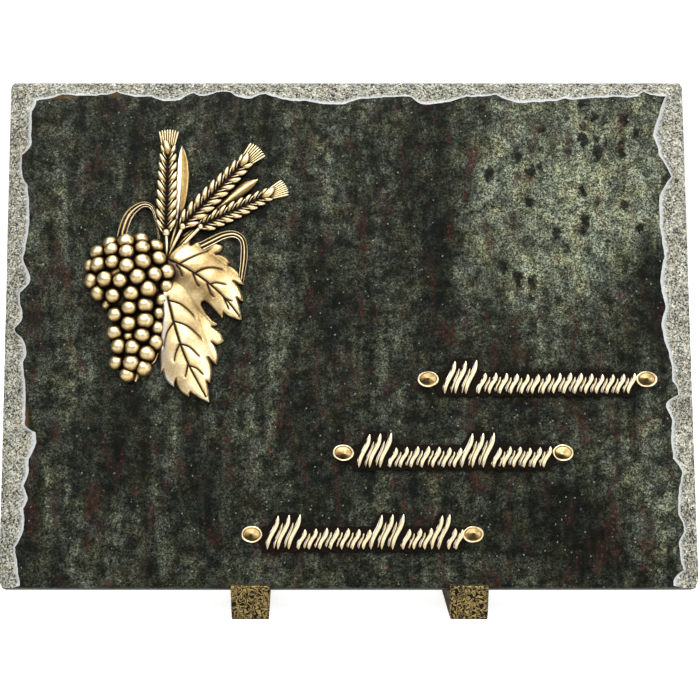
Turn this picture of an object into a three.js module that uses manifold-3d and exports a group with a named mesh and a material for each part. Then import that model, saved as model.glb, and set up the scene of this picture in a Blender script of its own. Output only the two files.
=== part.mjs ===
// Granite memorial plaque on two feet, with a bronze vine and wheat ornament and three bronze inscriptions.
// Millimetres. World frame: +X to the right, +Y to the back, +Z up, origin on the ground under the middle.
// The relief is drawn in the face frame: x to the right, y up the polished face, z out of it.

import * as THREE from 'three';
import { mergeVertices } from 'three/addons/utils/BufferGeometryUtils.js';
import Module from 'manifold-3d';

const wasm = await Module();
wasm.setup();

// Clearance between pieces that touch, and how far below the face relief is drawn before it is cut off.
const GAP = 0.3;
const SUNK = 1;

// The slab leans back on its feet. Its seat is the height of its lower front edge above the ground.
const SLAB = { width: 400, height: 300, thickness: 20, chamfer: 1.2, cornerCut: 2.2, seat: 17.5, lean: 17 };
const LEAN = THREE.MathUtils.degToRad(SLAB.lean);

// The chipped border. Each chip starts at a cusp: place along the edge, inset of the cusp from the slab's
// edge, and how much further in the bite reaches before the next cusp.
const CHIPS = {
  left: [[0, 11.7, 1.8], [23, 9.4, 3.2], [57, 13.4, 5], [97, 13.4, 1.4], [129, 11.8, 3.6], [150, 6.3, 2.9],
    [171.5, 9, 3.8], [192.5, 10.6, 3.5], [254, 7.9, 2.2], [287, 15]],
  top: [[16, 12.8, 0.4], [31.5, 8.8, 1.2], [63.5, 7.1, 4.6], [109, 7.6, 1.8], [130, 7.1, 3], [150, 8.5, 5],
    [237, 10.2, 3.7], [288.5, 9, 3.6], [347, 10.4, 1.2], [358, 10, 0.5], [376, 7.1, 1.6], [389, 9.8]],
  right: [[290, 11, 8.5], [241, 9.4, 5.4], [193, 14.5, 3], [161.5, 15.1, 3], [111, 9.1, 5], [65.5, 8.4, 1.6],
    [32, 8.6, 2.6], [10, 9.3, 1.5], [0, 15]],
};
const BORDER = {
  steps: 3, bruise: 0.2, bruiseDepth: 1.7, slope: 0.62, slopeDepth: 4.6, edgeDepth: 8, wobble: 0.22,
};

// The bunch of grapes lies on a rounded core that tapers from its shoulders to its tip. The core's profile is
// in shares of its half width and of its length.
const BUNCH = {
  top: [-126.5, 206], tip: [-122.8, 117.5], width: 44, height: 21, sides: 8,
  profile: [[0, 0], [0.62, 0.08], [0.88, 0.17], [1, 0.28], [0.88, 0.39], [0.57, 0.53], [0.48, 0.73],
    [0.4, 0.85], [0.2, 0.93], [0, 1]],
};

// One row of grapes a line, from the top: first x, last x, first y, last y, sag, number of grapes.
const GRAPE_ROWS = [
  [-138, -112, 200, 199, -1.2, 4],
  [-145, -119.5, 195, 196, 2.4, 4],
  [-147, -110, 188, 190.5, 3.4, 5],
  [-148, -105.5, 179, 183.5, 3.6, 6],
  [-144.5, -106, 172, 175, 4.6, 5],
  [-139.5, -108.5, 165, 167, 4.4, 4],
  [-134.5, -109.8, 158, 159, 6.2, 4],
  [-134.7, -110.6, 148, 150.5, 4.6, 4],
  [-132.3, -111.5, 139.5, 142, 3, 3],
  [-133.4, -116.5, 130.5, 135, 3, 3],
  [-127.3, -118.3, 123, 127, 0, 2],
];
const GRAPE = { radius: 4.6, seat: 3.4, bedding: 0.85 };

// The vine leaf: two lobes with a rib each, and the tips of the teeth from the stalk round each lobe.
const LEAF = {
  edge: 2.6, crown: 4.6, reach: 15, cell: 7, toothDepth: 3.2, notch: 0.16, swell: 0.55, veinWidth: 1.1,
  veinDepth: 1, blank: { x0: -114, x1: -56, y0: 103, y1: 206 },
  upperRib: [[-106, 190], [-98, 186.7], [-88.5, 181], [-79.7, 174.5], [-71, 166.2], [-62.8, 156]],
  lowerRib: [[-104.5, 166], [-101, 153], [-96.8, 139.5], [-91.5, 126.6], [-82.6, 109.8]],
  start: [-106.5, 189],
  outerTeeth: [[-97.5, 198.4], [-91.7, 202.3], [-84.6, 201.7], [-73, 198.6], [-68.2, 188.5], [-60.3, 175.6],
    [-61, 165.2], [-61.6, 153.6], [-72.4, 154.8]],
  sinus: [-84.5, 164.4],
  lowerTeeth: [[-76, 151.6], [-72.2, 142.5], [-75.9, 128.3], [-79.8, 117.2], [-79.9, 105.6], [-91.6, 109.3],
    [-100.6, 115], [-108.4, 123], [-110.5, 136]],
  end: [-105.5, 166],
  upperVeins: [[1, -76, 199.6], [2, -70.5, 184.5], [3, -66, 175.5], [1.6, -86, 165.5], [2.5, -77.5, 162.5]],
  lowerVeins: [[0.4, -87.5, 153.5], [1.2, -80, 141], [2, -80.5, 128], [1, -107.5, 134.5], [2, -101.5, 118],
    [3, -81.5, 117.5]],
};

// Ears of wheat: base and tip of the grains, end of the bristle fan, width, pairs of grains.
const EARS = [
  { base: [-106, 205.5], tip: [-105.2, 259], fan: [-105.2, 269.6], width: 11.4, pairs: 9, lift: 5.2 },
  { base: [-96.5, 208.5], tip: [-58.9, 251.2], fan: [-51.8, 259], width: 10.6, pairs: 9, lift: 6.4 },
  { base: [-85.5, 209], tip: [-43.2, 231.4], fan: [-34.4, 236], width: 9.8, pairs: 8, lift: 5.6 },
];
const GRAIN = { length: 9.4, width: 4.4, height: 5.6, splay: 36, aside: 0.8, taper: 0.25, earWidth: 11 };
const STALK_SIZE = { width: 2.4, height: 3.4 };
const BRISTLE_SIZE = { width: 3.7, height: 4.4 };

// What joins an ear: the overlap of its parts along it, the knot below it, and the share of its width that is
// backed.
const EAR = { overlap: 3, knot: 2.5, backing: 0.86, backingDrop: 2, endGrain: 5.5, ribs: 5, spread: 56 };

// Where the stems of the ears come together, under the bunch and the leaf.
const TIE = [-104.5, 190];

// Long blades between the ears, and the ribbon loops that come out behind the bunch and the leaf.
const BLADES = [
  { from: [-101.5, 192], to: [-96, 258.5], width: 7, height: 7 },
  { from: [-101, 199], to: [-52, 238.6], width: 6.4, height: 6.4 },
];
const RIBBONS = [
  [[-131.5, 199], [-131.6, 208], [-128, 218], [-120.2, 224.2], [-114, 221.8], [-111, 213], [-108.5, 198]],
  [[-84, 196], [-78, 201.8], [-73, 205], [-66.6, 207.4], [-61.5, 204.5], [-58.8, 195.5], [-59.3, 186],
    [-63, 177]],
];
const RIBBON = { width: 3.4, thickness: 3, lift: 2.4, steps: 12 };

// The inscriptions are rows of slanted strokes. Each row gives the middle of its left cap on the face, and
// its groups of strokes: the first one's distance from that cap, how many, and their height.
const LINE = {
  pitch: 126, step: 8.2, plate: 2, relief: 2.2, low: 11.8, tall: 19.6, slant: 18, foot: -8.4,
  margin: 1.2, lead: 3.8, taper: 7.5, strokeWidth: 2.7, swing: 0.35, lug: 2.2,
};
const LINES = {
  upper: { at: [46.1, 119.5], groups: [[12.5, 2, 'tall'], [31, 11, 'low']] },
  middle: { at: [-3, 76.8], groups: [[12, 2, 'tall'], [28.5, 5, 'low'], [71, 2, 'tall'], [88, 4, 'low']] },
  lower: { at: [-55.3, 30], groups: [[12, 2, 'tall'], [28.5, 5, 'low'], [71, 2, 'tall'], [88, 2, 'low'],
    [105.5, 1, 'tall'], [114, 1, 'low']] },
};

// The oval caps over the lugs.
const CAP = {
  width: 12.2, height: 9.4, rim: 1, shoulder: 1.5, crown: 3.3, bevel: 0.84, apex: 0.1, sides: 12,
};

// The feet: each is a casting with a lip in front, a sloping seat and an upstand behind the slab.
const FOOT = {
  centres: { foot_left: -56, foot_right: 68 }, width: 22.5, soleWidth: 21.3, lip: 2, front: -4.2, back: 97,
  upstand: 27, upstandThickness: 6, crestBevel: 3, rampRun: 14, rampHeight: 0.42, tail: 5,
};

const granite = new THREE.MeshStandardMaterial({ color: 0x3b433c, roughness: 0.22, metalness: 0 });
const bronze = new THREE.MeshStandardMaterial({ color: 0xc9a765, roughness: 0.32, metalness: 1 });
const lacquer = new THREE.MeshStandardMaterial({ color: 0x97793f, roughness: 0.45, metalness: 0.6 });

// A three.js geometry as a closed solid, and a solid as a geometry.
function solidOf(geometry) {
  const bare = geometry.clone();
  bare.deleteAttribute('normal');
  bare.deleteAttribute('uv');
  const merged = mergeVertices(bare, 1e-4);
  return new wasm.Manifold(new wasm.Mesh({
    numProp: 3,
    vertProperties: new Float32Array(merged.attributes.position.array),
    triVerts: new Uint32Array(merged.index.array),
  }));
}

function geometryOf(solid) {
  const mesh = solid.getMesh();
  const geometry = new THREE.BufferGeometry();
  geometry.setAttribute('position', new THREE.BufferAttribute(new Float32Array(mesh.vertProperties), 3));
  geometry.setIndex(new THREE.BufferAttribute(new Uint32Array(mesh.triVerts), 1));
  geometry.computeVertexNormals();
  return geometry;
}

function joined(geometries) {
  return geometries.map(solidOf).reduce((whole, next) => whole.add(next));
}

// Closed rings of points, one above the other and all with the same count, with walls between and a fan at
// each end.
function loft(rings) {
  const sides = rings[0].length;
  const points = rings.flat();
  const index = [];
  for (let r = 0; r < rings.length - 1; r += 1) {
    for (let i = 0; i < sides; i += 1) {
      const next = (i + 1) % sides;
      const [a, b] = [r * sides + i, r * sides + next];
      index.push(a, b, b + sides, a, b + sides, a + sides);
    }
  }
  for (const [r, turned] of [[0, true], [rings.length - 1, false]]) {
    const middle = new THREE.Vector3();
    rings[r].forEach((p) => middle.addScaledVector(p, 1 / sides));
    points.push(middle);
    for (let i = 0; i < sides; i += 1) {
      const [a, b] = [r * sides + i, r * sides + ((i + 1) % sides)];
      index.push(points.length - 1, turned ? b : a, turned ? a : b);
    }
  }
  const geometry = new THREE.BufferGeometry().setFromPoints(points);
  geometry.setIndex(index);
  return geometry;
}

// A closed block over a rectangle of the face, whose top follows a height function.
function reliefBlock(box, cell, floor, heightAt) {
  const [columns, rows] = [Math.ceil((box.x1 - box.x0) / cell), Math.ceil((box.y1 - box.y0) / cell)];
  const geometry = new THREE.BoxGeometry(box.x1 - box.x0, box.y1 - box.y0, 1, columns, rows, 1);
  geometry.translate((box.x0 + box.x1) / 2, (box.y0 + box.y1) / 2, 0);
  const place = geometry.attributes.position;
  for (let i = 0; i < place.count; i += 1) {
    place.setZ(i, place.getZ(i) < 0 ? floor : heightAt(place.getX(i), place.getY(i)));
  }
  return geometry;
}

// Side views of turned pieces as [radius, distance] in shares of the width and the length.
const POINTED = [[0, 0], [1, 0.45], [0, 1]];
const LANCE = [[0, 0], [0.8, 0.2], [1, 0.45], [0.85, 0.72], [0, 1]];
const STALK = [[0, 0], [1, 0.04], [0.8, 0.96], [0, 1]];
const BRISTLE = [[0, 0], [1, 0.86], [0, 1]];

// A turned piece between two places, flattened to its width and height.
function turned({ from, to, width, height, profile = POINTED, sides = 4 }) {
  const [a, b] = [new THREE.Vector3(...from), new THREE.Vector3(...to)];
  const length = Math.hypot(b.x - a.x, b.y - a.y);
  const points = profile.map(([r, t]) => new THREE.Vector2(r * 0.5, t * length));
  const geometry = new THREE.LatheGeometry(points, sides);
  geometry.scale(width, 1, height);
  geometry.rotateZ(Math.atan2(b.y - a.y, b.x - a.x) - Math.PI / 2);
  return geometry.translate(a.x, a.y, a.z);
}

// A bar with a flat section along a smooth curve through the given places.
function bar(points, width, thickness, steps) {
  const curve = new THREE.CatmullRomCurve3(points.map((p) => new THREE.Vector3(...p)), false, 'centripetal');
  const section = new THREE.Shape();
  const [w, t] = [width / 2, thickness / 2];
  const corners = [[-t, -w], [t, -w * 0.5], [t, w * 0.5], [-t, w]];
  section.setFromPoints(corners.map(([x, y]) => new THREE.Vector2(x, y)));
  return new THREE.ExtrudeGeometry(section, { steps, extrudePath: curve });
}

function mix(a, b, t) {
  return a + (b - a) * t;
}

// A repeatable number from -1 to 1 for a whole number.
function unevenness(n) {
  const s = Math.sin(n * 12.9898) * 43758.5453;
  return 2 * (s - Math.floor(s)) - 1;
}

// The chipped border clockwise from the lower left: where the polished face ends, and the edge beside it.
function borderPoints() {
  const [half, high] = [SLAB.width / 2, SLAB.height];
  const sides = [
    { chips: CHIPS.left, at: (along, inset) => [-half + inset, along] },
    { chips: CHIPS.top, at: (along, inset) => [-half + along, high - inset], corner: [-half, high] },
    { chips: CHIPS.right, at: (along, inset) => [half - inset, along], corner: [half, high] },
  ];
  const points = sides.flatMap(({ chips, at, corner }) => {
    const stretch = chips.slice(0, -1).flatMap(([start, inset, bite], i) => {
      const [end, nextInset] = chips[i + 1];
      return Array.from({ length: BORDER.steps }, (_, k) => {
        const t = k / BORDER.steps;
        const along = mix(start, end, t);
        const reach = mix(inset, nextInset, t) + bite * Math.sin(Math.PI * t ** 0.8);
        return { face: at(along, reach), edge: at(along, 0) };
      });
    });
    if (corner) stretch[0].edge = corner;
    return stretch;
  });
  points.push({ face: [half - CHIPS.right.at(-1)[1], 0], edge: [half, 0] });
  return points;
}

// The slab: polished face, steep bruise, rough slope down to the sawn edge, sawn sides and back. A layer is
// the border's outline a share of the way out to the slab's edge, at its depth.
function slabGeometry() {
  const border = borderPoints();
  const layer = (share, depth, seed) => border.map(({ face, edge }, i) => new THREE.Vector3(
    mix(face[0], edge[0], share),
    Math.max(mix(face[1], edge[1], share), share === 0 ? SLAB.chamfer : 0),
    -depth * (1 + BORDER.wobble * unevenness(i + seed)),
  ));
  const rim = layer(1, BORDER.edgeDepth, 120);
  const back = rim.map(({ x, y }) => new THREE.Vector3(x, y, -SLAB.thickness));
  const slope = layer(BORDER.slope, BORDER.slopeDepth, 60);
  const layers = [back, rim, slope, layer(BORDER.bruise, BORDER.bruiseDepth, 7), layer(0, 0, 0)];
  const blank = solidOf(loft(layers.map((points) => points.reverse())));
  const [half, high, cut] = [SLAB.width / 2, SLAB.height, SLAB.cornerCut];
  const corners = [[cut - half, 0], [half - cut, 0], [half, cut], [half, high - cut], [half - cut, high],
    [cut - half, high], [-half, high - cut], [-half, cut]];
  const outline = new THREE.Shape(corners.map(([x, y]) => new THREE.Vector2(x, y)));
  const prism = new THREE.ExtrudeGeometry(outline, { depth: 3 * SLAB.thickness, bevelEnabled: false });
  return geometryOf(blank.intersect(solidOf(prism.translate(0, 0, -2 * SLAB.thickness))));
}

// How far the core of the bunch stands out of the face at a place on it, down to nothing at its edge.
function bunchRise(x, y) {
  const { top, tip, width, height, profile } = BUNCH;
  const place = THREE.MathUtils.clamp((top[1] - y) / (top[1] - tip[1]), 0, 0.999);
  const i = profile.findIndex(([, t]) => t > place);
  const share = (place - profile[i - 1][1]) / (profile[i][1] - profile[i - 1][1]);
  const radius = mix(profile[i - 1][0], profile[i][0], share);
  const across = (x - mix(top[0], tip[0], place)) / (radius * width * 0.5);
  return radius * height * 0.5 * Math.sqrt(Math.max(0, 1 - across * across));
}

function grapeCentres() {
  return GRAPE_ROWS.flatMap(([x0, x1, y0, y1, sag, count]) => Array.from({ length: count }, (_, i) => {
    const t = i / (count - 1);
    const [x, y] = [mix(x0, x1, t), mix(y0, y1, t) - sag * 4 * t * (1 - t)];
    return [x, y, GRAPE.seat + GRAPE.bedding * bunchRise(x, y)];
  }));
}

function bunchPieces() {
  const grapes = grapeCentres().map((centre) => (
    new THREE.SphereGeometry(GRAPE.radius, 6, 4).rotateX(Math.PI / 2).translate(...centre)
  ));
  return [turned({ ...BUNCH, from: [...BUNCH.top, 0], to: [...BUNCH.tip, 0] }), ...grapes];
}

// The shortest way from a point to a line of points.
function distanceTo(line, x, y) {
  const point = new THREE.Vector3(x, y, 0);
  const nearest = new THREE.Vector3();
  let least = Infinity;
  for (let i = 0; i < line.length - 1; i += 1) {
    const step = new THREE.Line3(new THREE.Vector3(...line[i], 0), new THREE.Vector3(...line[i + 1], 0));
    step.closestPointToPoint(point, true, nearest);
    least = Math.min(least, nearest.distanceTo(point));
  }
  return least;
}

// Each rib is the crown of its own lobe, and the blade falls away from it on both sides.
function leafHeight(x, y) {
  const away = Math.min(distanceTo(LEAF.upperRib, x, y), distanceTo(LEAF.lowerRib, x, y)) / LEAF.reach;
  return LEAF.edge + LEAF.crown * Math.max(0, 1 - away * away);
}

// From tooth to tooth the edge dips into a notch behind each tip and swells out to the next.
function toothed(shape, tips, ribPoint) {
  const middle = new THREE.Vector2(...ribPoint);
  tips.forEach(([x, y], i) => {
    const tip = new THREE.Vector2(x, y);
    if (i > 0) {
      const last = new THREE.Vector2(...tips[i - 1]);
      const inward = middle.clone().sub(last).setLength(LEAF.toothDepth);
      const notch = last.clone().add(inward).lerp(tip, LEAF.notch);
      shape.lineTo(notch.x, notch.y);
      const swell = notch.clone().lerp(tip, LEAF.swell).addScaledVector(inward, -LEAF.swell);
      shape.quadraticCurveTo(swell.x, swell.y, tip.x, tip.y);
    } else {
      shape.lineTo(tip.x, tip.y);
    }
  });
}

function leafShape() {
  const shape = new THREE.Shape();
  shape.moveTo(...LEAF.start);
  toothed(shape, LEAF.outerTeeth, LEAF.upperRib[2]);
  shape.lineTo(...LEAF.sinus);
  toothed(shape, LEAF.lowerTeeth, LEAF.lowerRib[2]);
  shape.lineTo(...LEAF.end);
  return shape;
}

// A vein is a shallow V-shaped groove along a line of the blade.
function groove(line) {
  const points = line.map(([x, y]) => [x, y, leafHeight(x, y) + LEAF.veinDepth]);
  const curve = new THREE.CatmullRomCurve3(points.map((p) => new THREE.Vector3(...p)), false, 'centripetal');
  const [w, d] = [LEAF.veinWidth, LEAF.veinDepth * 2];
  const section = new THREE.Shape().setFromPoints([
    new THREE.Vector2(0, -w), new THREE.Vector2(d, 0), new THREE.Vector2(0, w),
  ]);
  return new THREE.ExtrudeGeometry(section, { steps: line.length - 1, extrudePath: curve });
}

function pointOnLine(line, place) {
  const i = Math.min(line.length - 2, Math.floor(place));
  return [0, 1].map((k) => mix(line[i][k], line[i + 1][k], place - i));
}

function leafSolid() {
  const depth = 3 * SUNK + LEAF.edge + LEAF.crown;
  const outline = new THREE.ExtrudeGeometry(leafShape(), { depth, bevelEnabled: false, curveSegments: 2 });
  const blade = solidOf(reliefBlock(LEAF.blank, LEAF.cell, -SUNK, leafHeight));
  let leaf = blade.intersect(solidOf(outline.translate(0, 0, -2 * SUNK)));
  const veins = [LEAF.upperRib, LEAF.lowerRib];
  for (const [rib, list] of [[LEAF.upperRib, LEAF.upperVeins], [LEAF.lowerRib, LEAF.lowerVeins]]) {
    list.forEach(([place, x, y]) => veins.push([pointOnLine(rib, place), [x, y]]));
  }
  veins.forEach((line) => {
    leaf = leaf.subtract(solidOf(groove(line)));
  });
  return leaf;
}

// An ear of wheat: pairs of grains in a herringbone up the stalk, a last grain, and a fan of bristles.
function earPieces({ base, tip, fan, width, pairs, lift }) {
  const start = new THREE.Vector2(...base);
  const along = new THREE.Vector2(...tip).sub(start);
  const [angle, length] = [along.angle(), along.length()];
  const at = (distance, aside = 0) => [
    start.x + distance * Math.cos(angle) - aside * Math.sin(angle),
    start.y + distance * Math.sin(angle) + aside * Math.cos(angle),
    lift,
  ];
  const towards = (from, turn, reach) => [
    from[0] + reach * Math.cos(turn), from[1] + reach * Math.sin(turn), from[2],
  ];
  const grain = (from, to) => turned({ from, to, width: GRAIN.width, height: GRAIN.height, sides: 3 });
  const stalk = (from, to) => turned({ from, to, ...STALK_SIZE, profile: STALK });
  const backing = { width: width * EAR.backing, height: 2 * (lift - EAR.backingDrop / 2), profile: STALK };
  const root = at(length - EAR.overlap);
  const pieces = [
    stalk([...TIE, lift], at(EAR.overlap)),
    stalk(at(-EAR.overlap), at(length + EAR.overlap)),
    turned({ from: [...base, 0], to: [...tip, 0], ...backing }),
    new THREE.IcosahedronGeometry(EAR.knot, 0).translate(...at(-EAR.knot)),
    grain(root, at(length + EAR.endGrain)),
  ];
  for (let i = 0; i < pairs; i += 1) {
    for (const side of [-1, 1]) {
      const from = at((i * (length - EAR.overlap)) / pairs, side * GRAIN.aside);
      const taper = (width / GRAIN.earWidth) * (1 - GRAIN.taper * (i / pairs) ** 4);
      const turn = angle + side * THREE.MathUtils.degToRad(GRAIN.splay);
      pieces.push(grain(from, towards(from, turn, GRAIN.length * taper)));
    }
  }
  const reach = new THREE.Vector2(...fan).sub(new THREE.Vector2(...tip)).length() + EAR.overlap;
  for (let i = 0; i < EAR.ribs; i += 1) {
    const turn = angle + THREE.MathUtils.degToRad(EAR.spread) * (i / (EAR.ribs - 1) - 0.5);
    const to = towards(root, turn, reach);
    pieces.push(turned({ ...BRISTLE_SIZE, from: root, to, profile: BRISTLE, sides: 3 }));
  }
  return pieces;
}

function ornamentGeometry() {
  const blades = BLADES.map(({ from, to, width, height }) => turned({
    from: [...from, height / 2], to: [...to, height / 2], width, height, profile: LANCE,
  }));
  const ribbons = RIBBONS.map((line) => (
    bar(line.map(([x, y]) => [x, y, RIBBON.lift]), RIBBON.width, RIBBON.thickness, RIBBON.steps)
  ));
  const pieces = [...bunchPieces(), ...EARS.flatMap(earPieces), ...blades, ...ribbons];
  const under = new THREE.BoxGeometry(SLAB.width, 2 * SLAB.height, SLAB.thickness);
  under.translate(0, 0, GAP - SLAB.thickness / 2);
  return geometryOf(joined(pieces).add(leafSolid()).subtract(solidOf(under)));
}

// How far a slanted line moves to the right over a height.
function leanOver(height) {
  return height * Math.tan(THREE.MathUtils.degToRad(LINE.slant));
}

// A slanted stroke: a lens with a slight swing, pointed at both ends. It is no letter. Its half width is
// given at places up its height, both in shares.
const LENS = [[-0.5, 0], [-0.24, 0.46], [0.24, 0.46], [0.5, 0]];

function strokeShape(x, height) {
  const { foot, strokeWidth, swing } = LINE;
  const side = (sign) => LENS.map(([t, w]) => new THREE.Vector2(
    x + leanOver(t * height) + strokeWidth * (sign * w + swing * Math.sin(2 * Math.PI * t)),
    foot + (t + 0.5) * height,
  ));
  const [right, left] = [side(1), side(-1)];
  return new THREE.Shape([...right, ...left.slice(1, -1).reverse()]);
}

// A line's backing bar: a lug at each end, and a raised stretch behind each group of tall strokes.
function backingShape(groups) {
  const { foot, low, tall, margin, lead, taper, lug, pitch, step } = LINE;
  const [bottom, top, crest] = [foot - margin, foot + low + margin, foot + tall + margin];
  const bumps = groups.filter(([, , kind]) => kind === 'tall').flatMap(([start, count]) => {
    const [first, last] = [start - lead, start + (count - 1) * step + lead];
    const over = leanOver(crest - top);
    return [[first, top], [first + over, crest], [last + over, crest], [last, top]];
  });
  const outline = [
    [0, lug], [0, -lug], [taper, bottom], [pitch - taper, bottom], [pitch, -lug], [pitch, lug],
    [pitch - taper, top], ...bumps.reverse(),
  ];
  return new THREE.Shape(outline.map(([x, y]) => new THREE.Vector2(x, y)));
}

function inscriptionGeometry({ groups }) {
  const backing = new THREE.ExtrudeGeometry(backingShape(groups), { depth: LINE.plate, bevelEnabled: false });
  const raised = { depth: LINE.relief + LINE.plate / 2, bevelEnabled: false };
  const strokes = groups.flatMap(([start, count, kind]) => Array.from({ length: count }, (_, i) => {
    const shape = strokeShape(start + i * LINE.step, LINE[kind]);
    return new THREE.ExtrudeGeometry(shape, raised).translate(0, 0, LINE.plate / 2);
  }));
  return geometryOf(joined([backing, ...strokes])).translate(0, 0, GAP);
}

// An oval cap: upright rim, rounded edge and a low cone.
function capGeometry() {
  const ring = (scale, z) => Array.from({ length: CAP.sides }, (_, i) => {
    const turn = (2 * Math.PI * i) / CAP.sides;
    const [x, y] = [0.5 * CAP.width * Math.cos(turn), 0.5 * CAP.height * Math.sin(turn)];
    return new THREE.Vector3(scale * x, scale * y, z);
  });
  const floor = LINE.plate + 2 * GAP;
  return loft([
    ring(1, floor), ring(1, floor + CAP.rim), ring(CAP.bevel, floor + CAP.shoulder),
    ring(CAP.apex, floor + CAP.crown),
  ]);
}

// A foot's side view is drawn in [back, up] and pressed across its width, which tapers towards the sole.
function footGeometry() {
  const up = new THREE.Vector2(Math.sin(LEAN), Math.cos(LEAN));
  const through = new THREE.Vector2(Math.cos(LEAN), -Math.sin(LEAN));
  const corner = new THREE.Vector2(0, SLAB.seat).addScaledVector(through, -GAP).addScaledVector(up, -GAP);
  const along = (p, vector, distance) => p.clone().addScaledVector(vector, distance);
  const lipTop = along(corner, up, GAP + FOOT.lip);
  const heel = along(corner, through, SLAB.thickness + 2 * GAP);
  const crest = along(heel, up, FOOT.upstand);
  const crestBack = along(crest, through, FOOT.upstandThickness);
  const profile = [
    [FOOT.front, 0], [FOOT.back, 0], [FOOT.back, FOOT.tail],
    [crestBack.x + FOOT.rampRun, crestBack.y * FOOT.rampHeight], [crestBack.x, crestBack.y - FOOT.crestBevel],
    [crestBack.x - FOOT.crestBevel, crestBack.y], [crest.x, crest.y], [heel.x, heel.y],
    [corner.x, corner.y], [lipTop.x, lipTop.y], [FOOT.front, lipTop.y],
  ].map(([x, y]) => new THREE.Vector2(x, y));
  const options = { depth: FOOT.width, bevelEnabled: false };
  const geometry = new THREE.ExtrudeGeometry(new THREE.Shape(profile), options);
  geometry.translate(0, 0, -FOOT.width / 2);
  const place = geometry.attributes.position;
  for (let i = 0; i < place.count; i += 1) {
    const t = Math.min(1, place.getY(i) / lipTop.y);
    place.setZ(i, place.getZ(i) * mix(FOOT.soleWidth / FOOT.width, 1, t));
  }
  // From [back, up, side] to the world's axes.
  return geometry.applyMatrix4(new THREE.Matrix4().set(0, 0, 1, 0, 1, 0, 0, 0, 0, 1, 0, 0, 0, 0, 0, 1));
}

function piece(name, geometry, material, parent) {
  const mesh = new THREE.Mesh(geometry, material);
  mesh.name = name;
  parent.add(mesh);
  return mesh;
}

const model = new THREE.Group();
const face = new THREE.Group();
face.position.z = SLAB.seat;
face.rotation.x = Math.PI / 2 - LEAN;
model.add(face);

piece('granite_slab', slabGeometry(), granite, face);
piece('vine_ornament', ornamentGeometry(), bronze, face);
for (const [row, line] of Object.entries(LINES)) {
  const [x, y] = line.at;
  piece(`inscription_${row}`, inscriptionGeometry(line), bronze, face).position.set(x, y, 0);
  piece(`cap_${row}_left`, capGeometry(), bronze, face).position.set(x, y, 0);
  piece(`cap_${row}_right`, capGeometry(), bronze, face).position.set(x + LINE.pitch, y, 0);
}
for (const [name, x] of Object.entries(FOOT.centres)) {
  piece(name, footGeometry(), lacquer, model).position.x = x;
}

// The origin goes to the middle of the footprint.
model.updateMatrixWorld(true);
const middle = new THREE.Box3().setFromObject(model).getCenter(new THREE.Vector3());
model.position.set(-middle.x, -middle.y, 0);
export default model;
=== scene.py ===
# %% [markdown]
# A memorial plaque of polished green granite stands on two small feet and leans back. It carries a bronze
# vine and wheat ornament and three bronze inscription strips with oval caps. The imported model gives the
# size and place of every piece. This lesson gives each piece its fine shape and its finish.

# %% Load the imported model
import math

import bmesh
import bpy
import numpy as np
from mathutils import Matrix, Vector, geometry, noise
from mathutils.bvhtree import BVHTree


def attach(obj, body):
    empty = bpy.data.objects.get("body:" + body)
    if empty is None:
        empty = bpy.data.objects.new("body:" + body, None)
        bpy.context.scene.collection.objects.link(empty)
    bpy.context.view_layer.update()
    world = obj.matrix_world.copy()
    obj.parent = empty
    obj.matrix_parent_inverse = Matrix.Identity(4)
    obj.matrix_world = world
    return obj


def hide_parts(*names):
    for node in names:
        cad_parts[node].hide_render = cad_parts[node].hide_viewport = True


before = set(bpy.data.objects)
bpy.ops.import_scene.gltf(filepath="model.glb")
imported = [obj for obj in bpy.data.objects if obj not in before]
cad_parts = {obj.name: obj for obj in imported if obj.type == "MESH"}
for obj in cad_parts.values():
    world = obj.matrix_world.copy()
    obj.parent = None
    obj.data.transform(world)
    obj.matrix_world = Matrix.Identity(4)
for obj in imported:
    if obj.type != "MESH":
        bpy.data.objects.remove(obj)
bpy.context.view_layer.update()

# %% [markdown]
# Everything on the front lies on one leaning plane, the polished face. It is far easier to model the relief
# lying flat, in millimetres, with x to the right, y up the face and z out of it. One matrix then leans it
# back and scales it to metres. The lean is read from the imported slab, so relief and slab always agree.

# %% Find the polished face
MM = 0.001
SEAT = 17.5
SLAB_SIZE = (400.0, 300.0, 20.0)

slab_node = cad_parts["granite_slab"]
front_faces = [face for face in slab_node.data.polygons if face.normal.y < -0.9]
face_normal = max(front_faces, key=lambda face: face.area).normal.copy()
lean = math.asin(face_normal.z)
reach = max(face_normal.dot(vertex.co) for vertex in slab_node.data.vertices)
foot_of_face = Vector((0, (reach - face_normal.z * SEAT * MM) / face_normal.y, SEAT * MM))
FACE = (Matrix.Translation(foot_of_face) @ Matrix.Rotation(math.pi / 2 - lean, 4, "X")
        @ Matrix.Diagonal((MM, MM, MM, 1)))
print("lean in degrees:", round(math.degrees(lean), 2))

# %% [markdown]
# Operators act on whatever is selected, so each step first selects exactly one thing. Two habits keep a
# scripted model tidy: a helper that picks one object, and a helper that hands a finished piece over to the
# frame with its place in its mesh.

# %% Helpers for selecting and handing over
def pick(piece):
    """Makes one object the only selected and active one."""
    bpy.ops.object.select_all(action="DESELECT")
    piece.select_set(True)
    bpy.context.view_layer.objects.active = piece
    return piece


def join(pieces, name):
    """Joins objects into the first one."""
    pick(pieces[0])
    for piece in pieces:
        piece.select_set(True)
    bpy.ops.object.join()
    pieces[0].name = name
    return pieces[0]


def dress(piece, *materials):
    """Gives a piece its materials in place of any it had."""
    piece.data.materials.clear()
    for material in materials:
        piece.data.materials.append(material)


def triangles(piece):
    return sum(len(face.vertices) - 2 for face in piece.data.polygons)


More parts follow.
